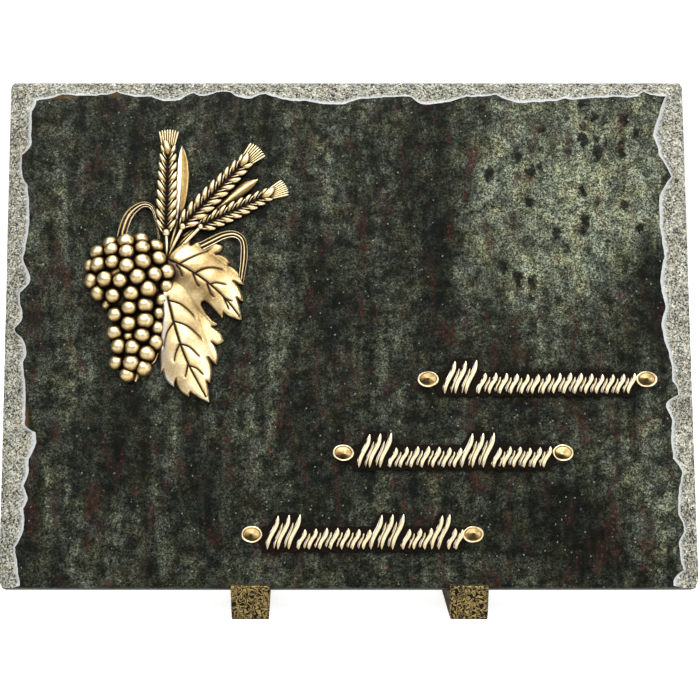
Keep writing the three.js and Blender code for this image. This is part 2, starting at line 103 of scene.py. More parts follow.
def hand_over(piece, name, matrix, slot, *nodes):
    """Puts a flat-modelled piece in its place, attaches it to the frame and hides the imported parts it stands
    for.
    """
    piece.name = name
    piece.data.name = name
    for spare in ("place", "tone"):
        if spare in piece.data.attributes:
            piece.data.attributes.remove(piece.data.attributes[spare])
    piece.matrix_world = matrix
    pick(piece)
    bpy.ops.object.transform_apply(location=True, rotation=True, scale=True)
    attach(piece, "root")
    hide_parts(*nodes)
    print(name, "has", triangles(piece), "triangles")


# %% [markdown]
# Most of these shapes can be drawn as rings of points: an outline that is extruded, moved and scaled again
# and again. By hand that is E, S, G in edit mode. Here a filled circle is extruded ring by ring, and each
# new ring is placed from a list. A number on each point, which extruding copies, says where on the ring it
# belongs.

# %% Extrude a shape ring by ring
def extrude_rings(name, rings):
    """A closed piece from rings of points, all with the same count."""
    bpy.ops.object.select_all(action="DESELECT")
    bpy.ops.mesh.primitive_circle_add(vertices=len(rings[0]), fill_type="NGON")
    piece = bpy.context.object
    piece.name = name
    bpy.ops.object.mode_set(mode="EDIT")
    mesh = bmesh.from_edit_mesh(piece.data)
    place = mesh.verts.layers.int.new("place")
    mesh.verts.ensure_lookup_table()
    for i, vertex in enumerate(mesh.verts):
        vertex[place] = i
        vertex.co = rings[0][i]
    bpy.ops.mesh.select_mode(type="FACE")
    bpy.ops.mesh.select_all(action="SELECT")
    for ring in rings[1:]:
        bpy.ops.mesh.extrude_region()
        mesh = bmesh.from_edit_mesh(piece.data)
        place = mesh.verts.layers.int["place"]
        for vertex in mesh.verts:
            if vertex.select:
                vertex.co = ring[vertex[place]]
        bmesh.update_edit_mesh(piece.data)
    bpy.ops.mesh.select_all(action="SELECT")
    bpy.ops.mesh.normals_make_consistent(inside=False)
    bpy.ops.object.mode_set(mode="OBJECT")
    return piece


def smooth(piece, degrees=40):
    pick(piece)
    bpy.ops.object.shade_smooth_by_angle(angle=math.radians(degrees))


# %% [markdown]
# A mesh can carry numbers of its own, one for each point. Here they say how dark the metal is, which is
# patina with painted shade in it, where a pale painted sheen stands for a reflection on it, or where the
# stone is bruised, and the materials read them. They are worked out from a point's place on its ring or
# from its position.

# %% Numbers on the points
def stored(piece, name, kind=np.float32):
    """The numbers that a piece carries under a name."""
    values = np.zeros(len(piece.data.vertices), kind)
    piece.data.attributes[name].data.foreach_get("value", values)
    return values


def store(piece, name, values):
    """Lets a piece carry one number for each point, in place of any it had under that name."""
    attributes = piece.data.attributes
    kept = attributes[name] if name in attributes else attributes.new(name, "FLOAT", "POINT")
    kept.data.foreach_set("value", np.asarray(values, np.float32))


def mark(piece, name, by_place=None, by_point=None):
    """Stores a number on every point of a piece, from its place on the ring or from its position."""
    if by_place is None:
        store(piece, name, [by_point(vertex.co) for vertex in piece.data.vertices])
    else:
        store(piece, name, np.asarray(by_place)[stored(piece, "place", np.int32)])
    return piece


# %% [markdown]
# The camera stands where the photographer stood: a little above the plaque's middle and well back, with a
# long lens. The photograph was cropped off centre, which a small lens shift repeats.

# %% Camera
CAMERA_PLACE = (-0.0278, -1.2023, 0.2916)
CAMERA_PITCH = 6.84
CAMERA_LENS = 106.4
CAMERA_SHIFT = 0.0714

bpy.ops.object.camera_add(location=CAMERA_PLACE, rotation=(math.radians(90 - CAMERA_PITCH), 0, 0))
camera = bpy.context.object
camera.data.lens = CAMERA_LENS
camera.data.shift_x = CAMERA_SHIFT
camera.data.clip_end = 50
bpy.context.scene.camera = camera
print("camera lens in mm:", CAMERA_LENS)

# %% [markdown]
# Polished stone and bronze show their surroundings, so the studio is kept simple: a broad soft light high in
# front, and weaker ones from the right and from above. Area lights are used, because their size makes their
# highlights broad and their shadows soft. Each is aimed at the plaque's middle.

# %% Studio
PLAQUE_MIDDLE = (0, 0, 0.15)
# Each light: its place and size in metres, and its power in watts.
LIGHTS = {
    "key_light": ((0.15, -1.0, 1.6), (1.2, 0.9), 16),
    "fill_light": ((1.4, -0.8, 0.7), (0.8, 1.1), 7),
    "top_light": ((0, 0.5, 1.9), (2.0, 1.2), 10),
}


def soft_light(name, place, target, size, power):
    bpy.ops.object.light_add(type="AREA", location=place)
    light = bpy.context.object
    light.name = name
    light.data.shape = "RECTANGLE"
    light.data.size, light.data.size_y = size
    light.data.energy = power
    light.rotation_euler = (Vector(target) - Vector(place)).to_track_quat("-Z", "Y").to_euler()
    return light


bpy.context.scene.view_settings.view_transform = "Standard"
for name, (place, size, power) in LIGHTS.items():
    soft_light(name, place, PLAQUE_MIDDLE, size, power)
print("lights:", list(LIGHTS))

# %% [markdown]
# Materials are written with one small function that adds a node, sets it up and links what comes in. Colours
# are the sRGB values that a paint chart would give, turned to the linear values that Blender calculates
# with.

# %% Colours and nodes
def colour(code):
    """An sRGB hex colour as linear RGBA."""
    channels = [int(code[i:i + 2], 16) / 255 for i in (1, 3, 5)]
    return [c / 12.92 if c <= 0.04045 else ((c + 0.055) / 1.055) ** 2.4 for c in channels] + [1.0]


def wire(item, inputs):
    """Sets a node's inputs: to a value, to one output of another node, or to another node's first output."""
    for key, value in inputs.items():
        if isinstance(value, bpy.types.Node):
            value = value.outputs[0]
        if isinstance(value, bpy.types.NodeSocket):
            item.id_data.links.new(value, item.inputs[key])
        else:
            item.inputs[key].default_value = value


def add(tree, kind, inputs=None, stops=None, **settings):
    """Adds a node with its settings and links. The stops are a colour ramp's places and colours."""
    item = tree.nodes.new("ShaderNode" + kind)
    for key, value in settings.items():
        setattr(item, key, value)
    wire(item, inputs or {})
    if stops:
        points = item.color_ramp.elements
        while len(points) < len(stops):
            points.new(1)
        for point, (place, code) in zip(points, stops):
            point.position = place
            point.color = colour(code)
    return item


def new_material(name):
    """A material, its nodes and its surface node."""
    made = bpy.data.materials.new(name)
    made.use_nodes = True
    return made, made.node_tree, made.node_tree.nodes["Principled BSDF"]


# %% [markdown]
# The sky stands for the rest of the room, and only reflections see it: rays from the camera meet plain white.
# It is bright high in front and dim all round. A curved piece of metal then shades from light to dark, and
# the leaning face, which mirrors the room lower down, stays dark.

# %% Sky
SKY_FRONT = Vector((-0.16, -0.5, 0.85)).normalized()
SKY_EDGE, SKY_CORE = 0.58, 0.98
SKY_DIM, SKY_BRIGHT, SKY_SEEN = 0.16, 2.1, 1.05

world = bpy.data.worlds.new("studio")
bpy.context.scene.world = world
world.use_nodes = True
sky = world.node_tree
direction = add(sky, "TexCoord").outputs["Generated"]
frontal = add(sky, "VectorMath", {0: direction, 1: SKY_FRONT}, operation="DOT_PRODUCT").outputs["Value"]
glow = add(sky, "MapRange", {"Value": frontal, "From Min": SKY_EDGE, "From Max": SKY_CORE,
                             "To Min": SKY_DIM, "To Max": SKY_BRIGHT}, interpolation_type="SMOOTHSTEP")
room = add(sky, "Background", {"Color": (1, 1, 1, 1), "Strength": glow})
white = add(sky, "Background", {"Color": (1, 1, 1, 1), "Strength": SKY_SEEN})
seen = add(sky, "LightPath").outputs["Is Camera Ray"]
either = add(sky, "MixShader", {0: seen, 1: room, 2: white})
wire(sky.nodes["World Output"], {"Surface": either})
print("sky strength from", SKY_DIM, "to", SKY_BRIGHT)

# %% [markdown]
# The floor is matt white paper on a roll, the usual ground for a catalogue photograph. It runs back and
# curves up into a wall, so no corner shows: a plane's far edge is extruded up in a curve. Paper has a faint
# fibre, which a fine noise in its bump gives. A photographer lights it separately, so that it turns pure
# white, and a little added light stands for that.

# %% Paper floor
FLOOR_NEAR, FLOOR_FAR, FLOOR_HALF, WALL_HEIGHT = -3.0, 2.6, 4.0, 4.0
CURVE_RADIUS, CURVE_STEPS = 1.2, 8
PAPER_LIFT = 0.8

paper, tree, shader = new_material("matt_white_paper")
place = add(tree, "TexCoord").outputs["Object"]
fibre = add(tree, "TexNoise", {"Vector": place, "Scale": 900.0, "Detail": 2.0})
relief = add(tree, "Bump", {"Height": fibre, "Strength": 0.1, "Distance": 0.1 * MM})
seen = add(tree, "LightPath").outputs["Is Camera Ray"]
lift = add(tree, "Math", {0: seen, 1: PAPER_LIFT}, operation="MULTIPLY")
wire(shader, {"Base Color": colour("#f4f4f2"), "Roughness": 0.9, "Normal": relief,
              "Emission Color": (1, 1, 1, 1), "Emission Strength": lift})

bpy.ops.object.select_all(action="DESELECT")
bpy.ops.mesh.primitive_plane_add(size=1)
floor = bpy.context.object
floor.name = "paper_floor"
bpy.ops.object.mode_set(mode="EDIT")
mesh = bmesh.from_edit_mesh(floor.data)
for vertex in mesh.verts:
    vertex.co.x = math.copysign(FLOOR_HALF, vertex.co.x)
    vertex.co.y = FLOOR_FAR if vertex.co.y > 0 else FLOOR_NEAR
bpy.ops.mesh.select_mode(type="EDGE")
bpy.ops.mesh.select_all(action="DESELECT")
for edge in mesh.edges:
    edge.select = all(vertex.co.y == FLOOR_FAR for vertex in edge.verts)
bmesh.update_edit_mesh(floor.data)
for step in range(1, CURVE_STEPS + 2):
    angle = math.pi / 2 * min(1.0, step / CURVE_STEPS)
    bpy.ops.mesh.extrude_edges_indiv()
    mesh = bmesh.from_edit_mesh(floor.data)
    for vertex in (v for v in mesh.verts if v.select):
        vertex.co.y = FLOOR_FAR + CURVE_RADIUS * math.sin(angle)
        vertex.co.z = CURVE_RADIUS * (1 - math.cos(angle))
        vertex.co.z += WALL_HEIGHT if step > CURVE_STEPS else 0
    bmesh.update_edit_mesh(floor.data)
bpy.ops.object.mode_set(mode="OBJECT")
smooth(floor)
dress(floor, paper)
print("floor strips:", len(floor.data.polygons))

# %% [markdown]
# The stone is a dark green granite, sawn, ground and polished. What the eye gets is nearly black stone in
# soft streaks that run up the slab, one pale olive cloud at the upper right, ragged blue-black blotches,
# rust-red garnets and a fine salt-and-pepper grain. Each of these is a pattern of its own size. The patterns
# use the object's coordinates turned into the face's millimetres, so a grain of 1 mm is 1 mm anywhere.

# %% Streaks and patches
BROAD_STREAK, FINE_STREAK, RUST_SMEAR = (34.0, 150.0), (8.0, 46.0), (11.0, 34.0)
STREAK_LEAN = math.radians(3)


def face_millimetres(tree):
    """The object's coordinates as millimetres on the polished face: across, up and out."""
    back = FACE.inverted()
    return add(tree, "Mapping", {
        "Vector": add(tree, "TexCoord").outputs["Object"], "Location": back.translation,
        "Rotation": back.to_euler(), "Scale": back.to_scale(),
    })


def streaks(tree, where, size, start, low, high):
    """A noise drawn out up the slab, as a factor from low to high."""
    wide, long = size
    placed = add(tree, "Mapping", {"Vector": where, "Location": (start, start, 0),
                                   "Rotation": (0, 0, STREAK_LEAN), "Scale": (1 / wide, 1 / long, 1 / wide)})
    drawn = add(tree, "TexNoise", {"Vector": placed, "Scale": 1.0, "Detail": 4.0, "Roughness": 0.6,
                                   "Distortion": 0.4})
    return add(tree, "MapRange", {"Value": drawn, "From Min": 0.33, "From Max": 0.67,
                                  "To Min": low, "To Max": high})


def patch(tree, spot, x, y, wide, high):
    """1 in the middle of an ellipse, falling softly to 0 at its edge."""
    placed = add(tree, "Mapping", {"Vector": spot, "Location": (-x / wide, -y / high, 0),
                                   "Scale": (1 / wide, 1 / high, 0)})
    away = add(tree, "VectorMath", {0: placed}, operation="LENGTH").outputs["Value"]
    return add(tree, "MapRange", {"Value": away, "From Min": 1.25, "From Max": 0.55},
               interpolation_type="SMOOTHSTEP")


# %% [markdown]
# The pale cloud is broken up by ragged blue-black crystals, each about a centimetre long. They are the cells
# of a Voronoi pattern, which a noise has pushed out of shape. Chance gives every cell its own size, and many
# get none.

# %% Dark crystals in the pale cloud
DARK_CRYSTAL, RAGGED_BY = (8.0, 11.0), (7.0, 8.0, 0)


def dark_crystals(tree, where, pale):
    """A factor that drops in the dark crystals, as far as the stone is pale there."""
    wide, high = DARK_CRYSTAL
    ragged = add(tree, "TexNoise", {"Vector": where, "Scale": 1 / 3.0, "Detail": 3.0})
    shifted = add(tree, "VectorMath", {0: ragged.outputs["Color"], 1: RAGGED_BY, 2: where},
                  operation="MULTIPLY_ADD")
    slim = add(tree, "Mapping", {"Vector": shifted, "Scale": (1 / wide, 1 / high, 0)})
    cells = add(tree, "TexVoronoi", {"Vector": slim, "Scale": 1.0})
    chance = add(tree, "SeparateColor", {0: cells.outputs["Color"]})
    size = add(tree, "Math", {0: chance, 1: 0.62, 2: -0.17}, operation="MULTIPLY_ADD")
    inner = add(tree, "Math", {0: size, 1: cells.outputs["Distance"]}, operation="SUBTRACT")
    dark = add(tree, "MapRange", {"Value": inner, "From Min": -0.12, "From Max": 0.1, "To Max": 0.72})
    dark = add(tree, "Math", {0: dark, 1: pale}, operation="MULTIPLY")
    return add(tree, "Math", {0: 1.0, 1: dark}, operation="SUBTRACT")


# %% [markdown]
# The minerals are laid over each other from broad patches down to single grains. They're multiplied, so the
# grain shows as strongly in the dark parts as in the pale ones. A colour ramp then turns lightness into the
# stone's own greens, and a slow tinge makes some parts bluer and some warmer.

# %% The stone's minerals
DARKEST, DRIFT = 0.185, 24.0
BLOTCH, GRAIN, CRYSTAL = 8.5, 2.2, 0.72
# Pale and dark patches: the middle, half the width and height, and how much lighter the stone gets there.
PATCHES = [
    (119, 234, 60, 80, 0.14), (163, 240, 34, 54, 0.13), (112, 240, 26, 36, 0.05), (73, 190, 13, 34, 0.08),
    (112, 165, 34, 38, 0.05), (182, 170, 15, 42, -0.09), (16, 209, 40, 67, -0.035), (-135, 79, 28, 38, -0.07),
    (123, 34, 40, 30, -0.06), (-74, 50, 36, 36, -0.04), (-12, 234, 6, 30, 0.09), (-41, 150, 8, 52, 0.08),
    (-106, 85, 7, 26, 0.08), (168, 56, 22, 48, 0.06), (-173, 228, 20, 64, 0.025), (-65, 200, 16, 40, 0.03),
    (56, 160, 10, 130, -0.06),
]


def stone_lightness(tree, where):
    """The patches, whose edges a noise has pushed out of shape."""
    drift = add(tree, "TexNoise", {"Vector": where, "Scale": 1 / 20.0, "Detail": 5.0, "Roughness": 0.62})
    moved = add(tree, "VectorMath", {0: drift.outputs["Color"], 1: (DRIFT,) * 3}, operation="MULTIPLY")
    spot = add(tree, "VectorMath", {0: where, 1: moved}, operation="ADD")
    spot = add(tree, "VectorMath", {0: spot, 1: (DRIFT / 2,) * 3}, operation="SUBTRACT")
    lightness = DARKEST
    for *place, change in PATCHES:
        lightness = add(tree, "Math", {0: patch(tree, spot, *place), 1: change, 2: lightness},
                        operation="MULTIPLY_ADD")
    return lightness


def granite_colour(tree, where):
    """The stone's minerals, from broad patches down to single grains."""
    lightness = stone_lightness(tree, where)
    blots = add(tree, "TexNoise", {"Vector": where, "Scale": 1 / BLOTCH, "Detail": 4.0, "Roughness": 0.6})
    blot = add(tree, "MapRange", {"Value": blots, "From Min": 0.38, "From Max": 0.56,
                                  "To Min": 0.5, "To Max": 1.1})
    grains = add(tree, "TexNoise", {"Vector": where, "Scale": 1 / GRAIN, "Detail": 3.0, "Roughness": 0.7})
    grain = add(tree, "MapRange", {"Value": grains, "From Min": 0.3, "From Max": 0.7,
                                   "To Min": 0.65, "To Max": 1.35})
    crystals = add(tree, "TexVoronoi", {"Vector": where, "Scale": 1 / CRYSTAL})
    lot = add(tree, "SeparateColor", {0: crystals.outputs["Color"]})
    crystal = add(tree, "MapRange", {"Value": lot, "To Min": 0.42, "To Max": 1.58})
    broad = streaks(tree, where, BROAD_STREAK, 3.0, 0.64, 1.36)
    fine = streaks(tree, where, FINE_STREAK, 41.0, 0.68, 1.32)
    pale = add(tree, "MapRange", {"Value": lightness, "From Min": 0.2, "From Max": 0.34})
    calm = add(tree, "Math", {0: pale, 1: -0.4, 2: 1.0}, operation="MULTIPLY_ADD")
    uneven = blot
    for factor in (grain, broad, fine):
        uneven = add(tree, "Math", {0: uneven, 1: factor}, operation="MULTIPLY")
    uneven = add(tree, "Math", {0: uneven, 1: calm}, operation="POWER")
    for factor in (uneven, crystal, dark_crystals(tree, where, pale)):
        lightness = add(tree, "Math", {0: lightness, 1: factor}, operation="MULTIPLY")
    stone = add(tree, "ValToRGB", {"Fac": lightness}, stops=[
        (0.0, "#050504"), (0.1, "#191a16"), (0.2, "#33352b"), (0.32, "#505347"), (0.46, "#747865"),
        (0.62, "#9c9f85"), (0.82, "#c2c2a6"), (1.0, "#e6e3cd")])
    tinge = add(tree, "TexNoise", {"Vector": where, "Scale": 1 / 14.0, "Detail": 3.0})
    hue = add(tree, "ValToRGB", {"Fac": tinge}, stops=[(0.36, "#e6eef4"), (0.5, "#f4f8f6"), (0.64, "#fbf7e6")])
    stone = add(tree, "Mix", {0: 1.0, 6: stone, 7: hue}, data_type="RGBA", blend_type="MULTIPLY").outputs[2]
    sparkle = add(tree, "Math", {0: lot.outputs[1], 1: 0.9972}, operation="GREATER_THAN")
    return add(tree, "Mix", {0: sparkle, 6: stone, 7: colour("#777c74")}, data_type="RGBA").outputs[2]


print("pale and dark patches:", len(PATCHES))

# %% [markdown]
# Polished granite: the surface itself is as flat as glass, so nearly all that shows is colour under a clear
# gloss. Garnets sit in it in smears that run up the stone: small, dark red and close together. Near the
# chipped border, water has brought a little ochre into the stone.

# %% Polished granite
GARNET = 1.5
# Ochre stains: the middle, and half the width and height.
STAINS = [(-171, 291, 13, 3), (-138, 292, 5, 3), (64, 291, 7, 3), (-187, 96, 3, 10)]

polished, tree, shader = new_material("polished_green_granite")
where = face_millimetres(tree)
smear = streaks(tree, where, RUST_SMEAR, 77.0, -0.7, 1.3)
rusty = add(tree, "Math", {0: smear, 1: 0.5}, operation="SUBTRACT", use_clamp=True)
reds = add(tree, "TexVoronoi", {"Vector": where, "Scale": 1 / GARNET})
chosen = add(tree, "SeparateColor", {0: reds.outputs["Color"]})
likely = add(tree, "Math", {0: rusty, 1: 0.5, 2: 0.004}, operation="MULTIPLY_ADD")
picked = add(tree, "Math", {0: chosen, 1: likely}, operation="LESS_THAN")
near = add(tree, "MapRange", {"Value": reds.outputs["Distance"], "From Min": 0.6, "From Max": 0.3,
                              "To Max": 0.8})
garnet = add(tree, "Math", {0: picked, 1: near}, operation="MULTIPLY")
tinted = add(tree, "Math", {0: rusty, 1: 0.55}, operation="MULTIPLY", use_clamp=True)
layers = [(tinted, "#2e1e1b"), (garnet, "#49241f")]
for stain in STAINS:
    stained = add(tree, "Math", {0: patch(tree, where, *stain), 1: 0.4}, operation="MULTIPLY")
    layers.append((stained, "#6e522a"))
stone = granite_colour(tree, where)
for share, code in layers:
    stone = add(tree, "Mix", {0: share, 6: stone, 7: colour(code)}, data_type="RGBA").outputs[2]
shine = add(tree, "TexNoise", {"Vector": where, "Scale": 1 / GRAIN, "Detail": 2.0})
gloss = add(tree, "MapRange", {"Value": shine, "To Min": 0.1, "To Max": 0.26})
wire(shader, {"Base Color": stone, "Roughness": gloss, "IOR": 1.5, "Specular IOR Level": 0.04})
print(polished.name, "has", len(tree.nodes), "nodes")

# %% [markdown]
# Where the border was knocked off with a hammer and chisel, the same stone is crushed: grey, with cream,
# white and black crystals standing out sharply. Just inside the border the blow left a white bruise. A value
# stored on the mesh, called bruise, says where that is.

# %% Chipped granite
CRUSHED, CRUSHED_FINE = 0.82, 1.3

chipped, tree, shader = new_material("chipped_granite")
where = face_millimetres(tree)
crystals = add(tree, "TexVoronoi", {"Vector": where, "Scale": 1 / CRUSHED})
lot = add(tree, "SeparateColor", {0: crystals.outputs["Color"]})
drift = add(tree, "TexNoise", {"Vector": where, "Scale": 1 / 9.0, "Detail": 4.0, "Roughness": 0.6})
grains = add(tree, "TexNoise", {"Vector": where, "Scale": 1 / CRUSHED_FINE, "Detail": 3.0, "Roughness": 0.7})
shade = add(tree, "MapRange", {"Value": drift, "From Min": 0.3, "From Max": 0.7,
                               "To Min": -0.12, "To Max": 0.2})
shade = add(tree, "Math", {0: lot, 1: 0.78, 2: shade}, operation="MULTIPLY_ADD")
rough = add(tree, "MapRange", {"Value": grains, "From Min": 0.3, "From Max": 0.7,
                               "To Min": -0.22, "To Max": 0.22})
shade = add(tree, "Math", {0: shade, 1: rough})
crush = add(tree, "ValToRGB", {"Fac": shade}, stops=[
    (0.0, "#161816"), (0.2, "#484a44"), (0.38, "#72746d"), (0.58, "#999a8f"), (0.8, "#bfbeb1"),
    (1.0, "#e6e4d9")])
warm = add(tree, "MapRange", {"Value": lot.outputs[1], "From Min": 0.72, "From Max": 0.98, "To Max": 0.55})
bruise = add(tree, "Attribute", attribute_name="bruise").outputs["Fac"]
for share, code in ((warm, "#b39f70"), (bruise, "#c3c6c8")):
    crush = add(tree, "Mix", {0: share, 6: crush, 7: colour(code)}, data_type="RGBA").outputs[2]
bumps = add(tree, "Bump", {"Height": shade, "Strength": 0.55, "Distance": 0.35 * MM})
wire(shader, {"Base Color": crush, "Roughness": 0.85, "Specular IOR Level": 0.3, "Normal": bumps})
print(chipped.name, "has", len(tree.nodes), "nodes")

# %% [markdown]
# The back and the lower edge are only sawn. Sawn granite is the polished stone seen through a grey haze of
# fine scratches, with faint lines from the saw's wire.

# %% Sawn granite
sawn, tree, shader = new_material("sawn_granite")
where = face_millimetres(tree)
dull = add(tree, "Mix", {0: 0.3, 6: granite_colour(tree, where), 7: colour("#5b5f57")}, data_type="RGBA")
kerf_place = add(tree, "Mapping", {"Vector": where, "Scale": (0.02, 1.2, 0.3)})
kerf = add(tree, "TexNoise", {"Vector": kerf_place, "Scale": 1.0, "Detail": 3.0})
bumps = add(tree, "Bump", {"Height": kerf, "Strength": 0.35, "Distance": 0.2 * MM})
wire(shader, {"Base Color": dull.outputs[2], "Roughness": 0.62, "Normal": bumps})
print(sawn.name, "has", len(tree.nodes), "nodes")

# %% [markdown]
# The slab is one extrusion. Its first ring is where the polished face ends, which on three sides is a line
# of shallow bites between cusps. The rings after it go down the white bruise and the rough slope to the
# slab's edge, then round the back. Along the bottom the same rings make a small polished bevel.

# %% The border's bites
# Each side lists its cusps: place along the side, distance in from the edge, and how much deeper the bite
# that follows reaches.
BITES = {
    "left": [(3, 12.8, 0.5), (8, 11.7, 0.4), (23, 9.4, 2.6), (45, 14.0, 2.2), (58, 13.4, 1.2),
             (74, 16.6, 1.6), (89, 20.0, -1.5), (94, 13.6, 1.0), (130, 11.8, 2.4), (145, 10.6, -1.4),
             (150, 6.4, 2.0), (161, 10.5, -0.6), (171.5, 9.0, 3.2), (184, 13.6, -0.8), (192.5, 10.6, 2.3),
             (236, 11.8, -1.2), (244.5, 8.6, -0.4), (254, 8.0, 1.9), (263.5, 13.7, -0.3), (281, 13.3, 0.4),
             (287, 16)],
    "top": [(16, 12.8, 0.2), (31.5, 8.8, 0.9), (59, 8.5, 0.3), (63.5, 7.1, 1.5), (84, 10.0, 1.6),
            (101, 12.2, -0.4), (109, 7.6, 1.2), (118, 9.0, -0.9), (131, 7.3, 1.8), (144, 11.0, -0.6),
            (152, 8.6, 1.4), (176, 12.8, 1.2), (199, 14.7, -1.3), (216, 11.4, -0.4), (238, 10.2, 2.2),
            (250, 14.7, 0.8), (271, 10.0, 0.4), (288.5, 9.0, 2.4), (311, 13.3, 0.6), (330, 11.4, 0.9),
            (347, 10.4, 0.8), (358, 10.0, 0.4), (372.5, 10.0, -0.3), (376, 7.1, 1.0), (389, 9.8)],
    "right": [(290, 11.0, 0.5), (266, 19.3, -0.8), (254, 16.1, -0.6), (241, 9.4, 1.2), (226, 17.0, 0.8),
              (193, 14.5, 1.6), (171, 16.9, -0.6), (161.5, 15.1, 1.2), (147, 17.3, -1.0), (119, 12.1, -1.1),
              (111, 9.1, 2.2), (104, 16.4, -0.9), (92, 13.5, 0.4), (74, 13.5, -0.9), (65.5, 8.4, 0.9),
              (42, 11.7, -1.0), (32, 8.6, 1.4), (21, 11.2, 0.6), (10, 9.3, 1.4), (3, 16)],
}
BORDER_STEP, CORNER_LAP, BOTTOM_STEPS = 0.85, 14, 60
WIDE, HIGH, THICK = SLAB_SIZE
HALF_WIDTH = WIDE / 2


def border_line():
    """Points round the polished face, clockwise from the lower left, each with the slab's edge beside it."""
    sides = [
        ("left", lambda along, inset: (-HALF_WIDTH + inset, along), None),
        ("top", lambda along, inset: (-HALF_WIDTH + along, HIGH - inset), (-HALF_WIDTH, HIGH)),
        ("right", lambda along, inset: (HALF_WIDTH - inset, along), (HALF_WIDTH, HIGH)),
    ]
    line = []
    for side, at, corner in sides:
        stretch = []
        for (start, inset, bite), (end, next_inset, *_) in zip(BITES[side], BITES[side][1:]):
            steps = max(2, round(abs(end - start) / BORDER_STEP))
            for k in range(steps):
                share = k / steps
                along = start + (end - start) * share
                depth = inset + (next_inset - inset) * share + bite * math.sin(math.pi * share)
                depth += 0.55 * noise.noise(Vector((along / 4.5, depth / 30, len(line) / 900)))
                depth += 0.22 * noise.noise(Vector((along / 1.3, 7, 3)))
                stretch.append([at(along, depth), at(along, 0)])
        if corner:
            lap = round(0.5 * (BITES[side][0][1] + CORNER_LAP) / BORDER_STEP)
            blend_corner(line, stretch, corner, lap)
        line += stretch
    return line


def blend_corner(before, after, corner, lap):
    """Spreads the points of a corner's two stretches along both edges up to the corner."""
    for near in (before[::-1][:lap], after[:lap]):
        start = near[-1][1]
        for i, point in enumerate(near):
            share = i / (len(near) - 1)
            point[1] = tuple(c + (s - c) * share for c, s in zip(corner, start))


front = border_line()
for k, end in ((0, -1), (-1, 1)):
    front[k][1] = (end * HALF_WIDTH, 0.0)
left_end, right_end = front[0][0], front[-1][0]
bottom = []
for k in range(BOTTOM_STEPS + 1):
    share = k / BOTTOM_STEPS
    x = right_end[0] + (left_end[0] - right_end[0]) * share
    bottom.append(((x, 0.0), (HALF_WIDTH - WIDE * share, 0.0)))
print("points round the face:", len(front) + len(bottom))

# %% [markdown]
# The rough slope needs real relief, because its crystals catch the light one by one. Each ring of points is
# moved in and out by noise of three sizes, from waves as wide as a chisel's blow to grains as wide as a
# crystal. Towards the slab's edge this dies away, because the edge was sawn straight.

# %% The granite slab
BEVEL, EDGE_DEPTH, CORNER_CUT = 1.2, 6.4, 2.2
# The rings: the share of the way from the polished face to the slab's edge, and the depth there.
BAND = [(0.0, 0.0), (0.05, 0.45), (0.11, 0.95), (0.17, 1.4), (0.24, 1.8), (0.32, 2.3), (0.4, 2.75),
        (0.48, 3.2), (0.56, 3.7), (0.64, 4.2), (0.72, 4.65), (0.8, 5.1), (0.88, 5.6), (0.95, 6.1),
        (1.0, EDGE_DEPTH)]
BACK_ROUND = 0.6
# The rough slope's waves: how long, how high, and where in the noise they start.
CHIP_WAVES = [(7.0, 0.8, (0, 0, 0)), (2.4, 0.55, (9, 4, 2)), (0.95, 0.42, (3, 8, 1))]
ROUGH_FROM, SMOOTH_RIM = 0.24, 0.1


def trimmed(x, y):
    """Cuts the slab's four corners a little."""
    over = abs(x) - HALF_WIDTH + max(CORNER_CUT - y, y - HIGH + CORNER_CUT, 0)
    if over > 0:
        x -= math.copysign(over, x)
    return x, y


def slab_ring(share, depth, rough):
    """One ring: a share of the way from the polished face to the slab's edge, at its depth."""
    ring = []
    for (fx, fy), (ex, ey) in front:
        x, y = fx + (ex - fx) * share, fy + (ey - fy) * share
        spot = Vector((x, y, depth))
        relief = sum(high * noise.noise(spot / long + Vector(start)) for long, high, start in CHIP_WAVES)
        y = max(y, BEVEL * (1 - share))
        x, y = trimmed(x, y)
        ring.append((x, y, min(0.0, -depth + rough * relief)))
    for (fx, _), (ex, _) in bottom:
        x, y = trimmed(fx + (ex - fx) * share, BEVEL * max(0.0, 1 - share * 3))
        ring.append((x, y, -BEVEL * min(1.0, share * 3) - depth * share * 0.2))
    return ring


rings = []
for share, depth in BAND:
    rough = min(1.0, share / ROUGH_FROM, (1 - share) / SMOOTH_RIM)
    rings.append(slab_ring(share, depth, rough))
edge = rings[-1]
rings.append([(x, y, -(THICK + EDGE_DEPTH) / 2) for x, y, _ in edge])
rings.append([(x, y, -THICK + BACK_ROUND) for x, y, _ in edge])
rings.append([(x * 0.9985, y * 0.997 + 0.45, -THICK) for x, y, _ in edge])
slab = extrude_rings("slab", rings)
print("rings of the slab:", len(rings))

# %% [markdown]
# Three finishes meet on the slab, and each face gets its own by where it lies and which way it looks. Where
# two finishes meet, the edge stays sharp, because the polish ends in a line there.

# %% Polished, chipped and sawn
POLISHED, CHIPPED, SAWN = range(3)
# How white the bruise is on the first four rings.
BRUISE_SHARES = (0.8, 0.85, 0.5, 0.1)


def finish_of(face):
    """Polished on the face and its lower bevel, chipped on the rough slope, and sawn everywhere else."""
    middle = face.center
    if face.normal.z > 0.999 and middle.z > -0.05:
        return POLISHED
    if face.normal.y < -0.4 and middle.y < 2 and abs(middle.x) < HALF_WIDTH - 8:
        return POLISHED if middle.z > -1.5 * BEVEL else SAWN
    if middle.z > -EDGE_DEPTH - 1.5 and face.normal.z > 0.02:
        return CHIPPED
    return SAWN


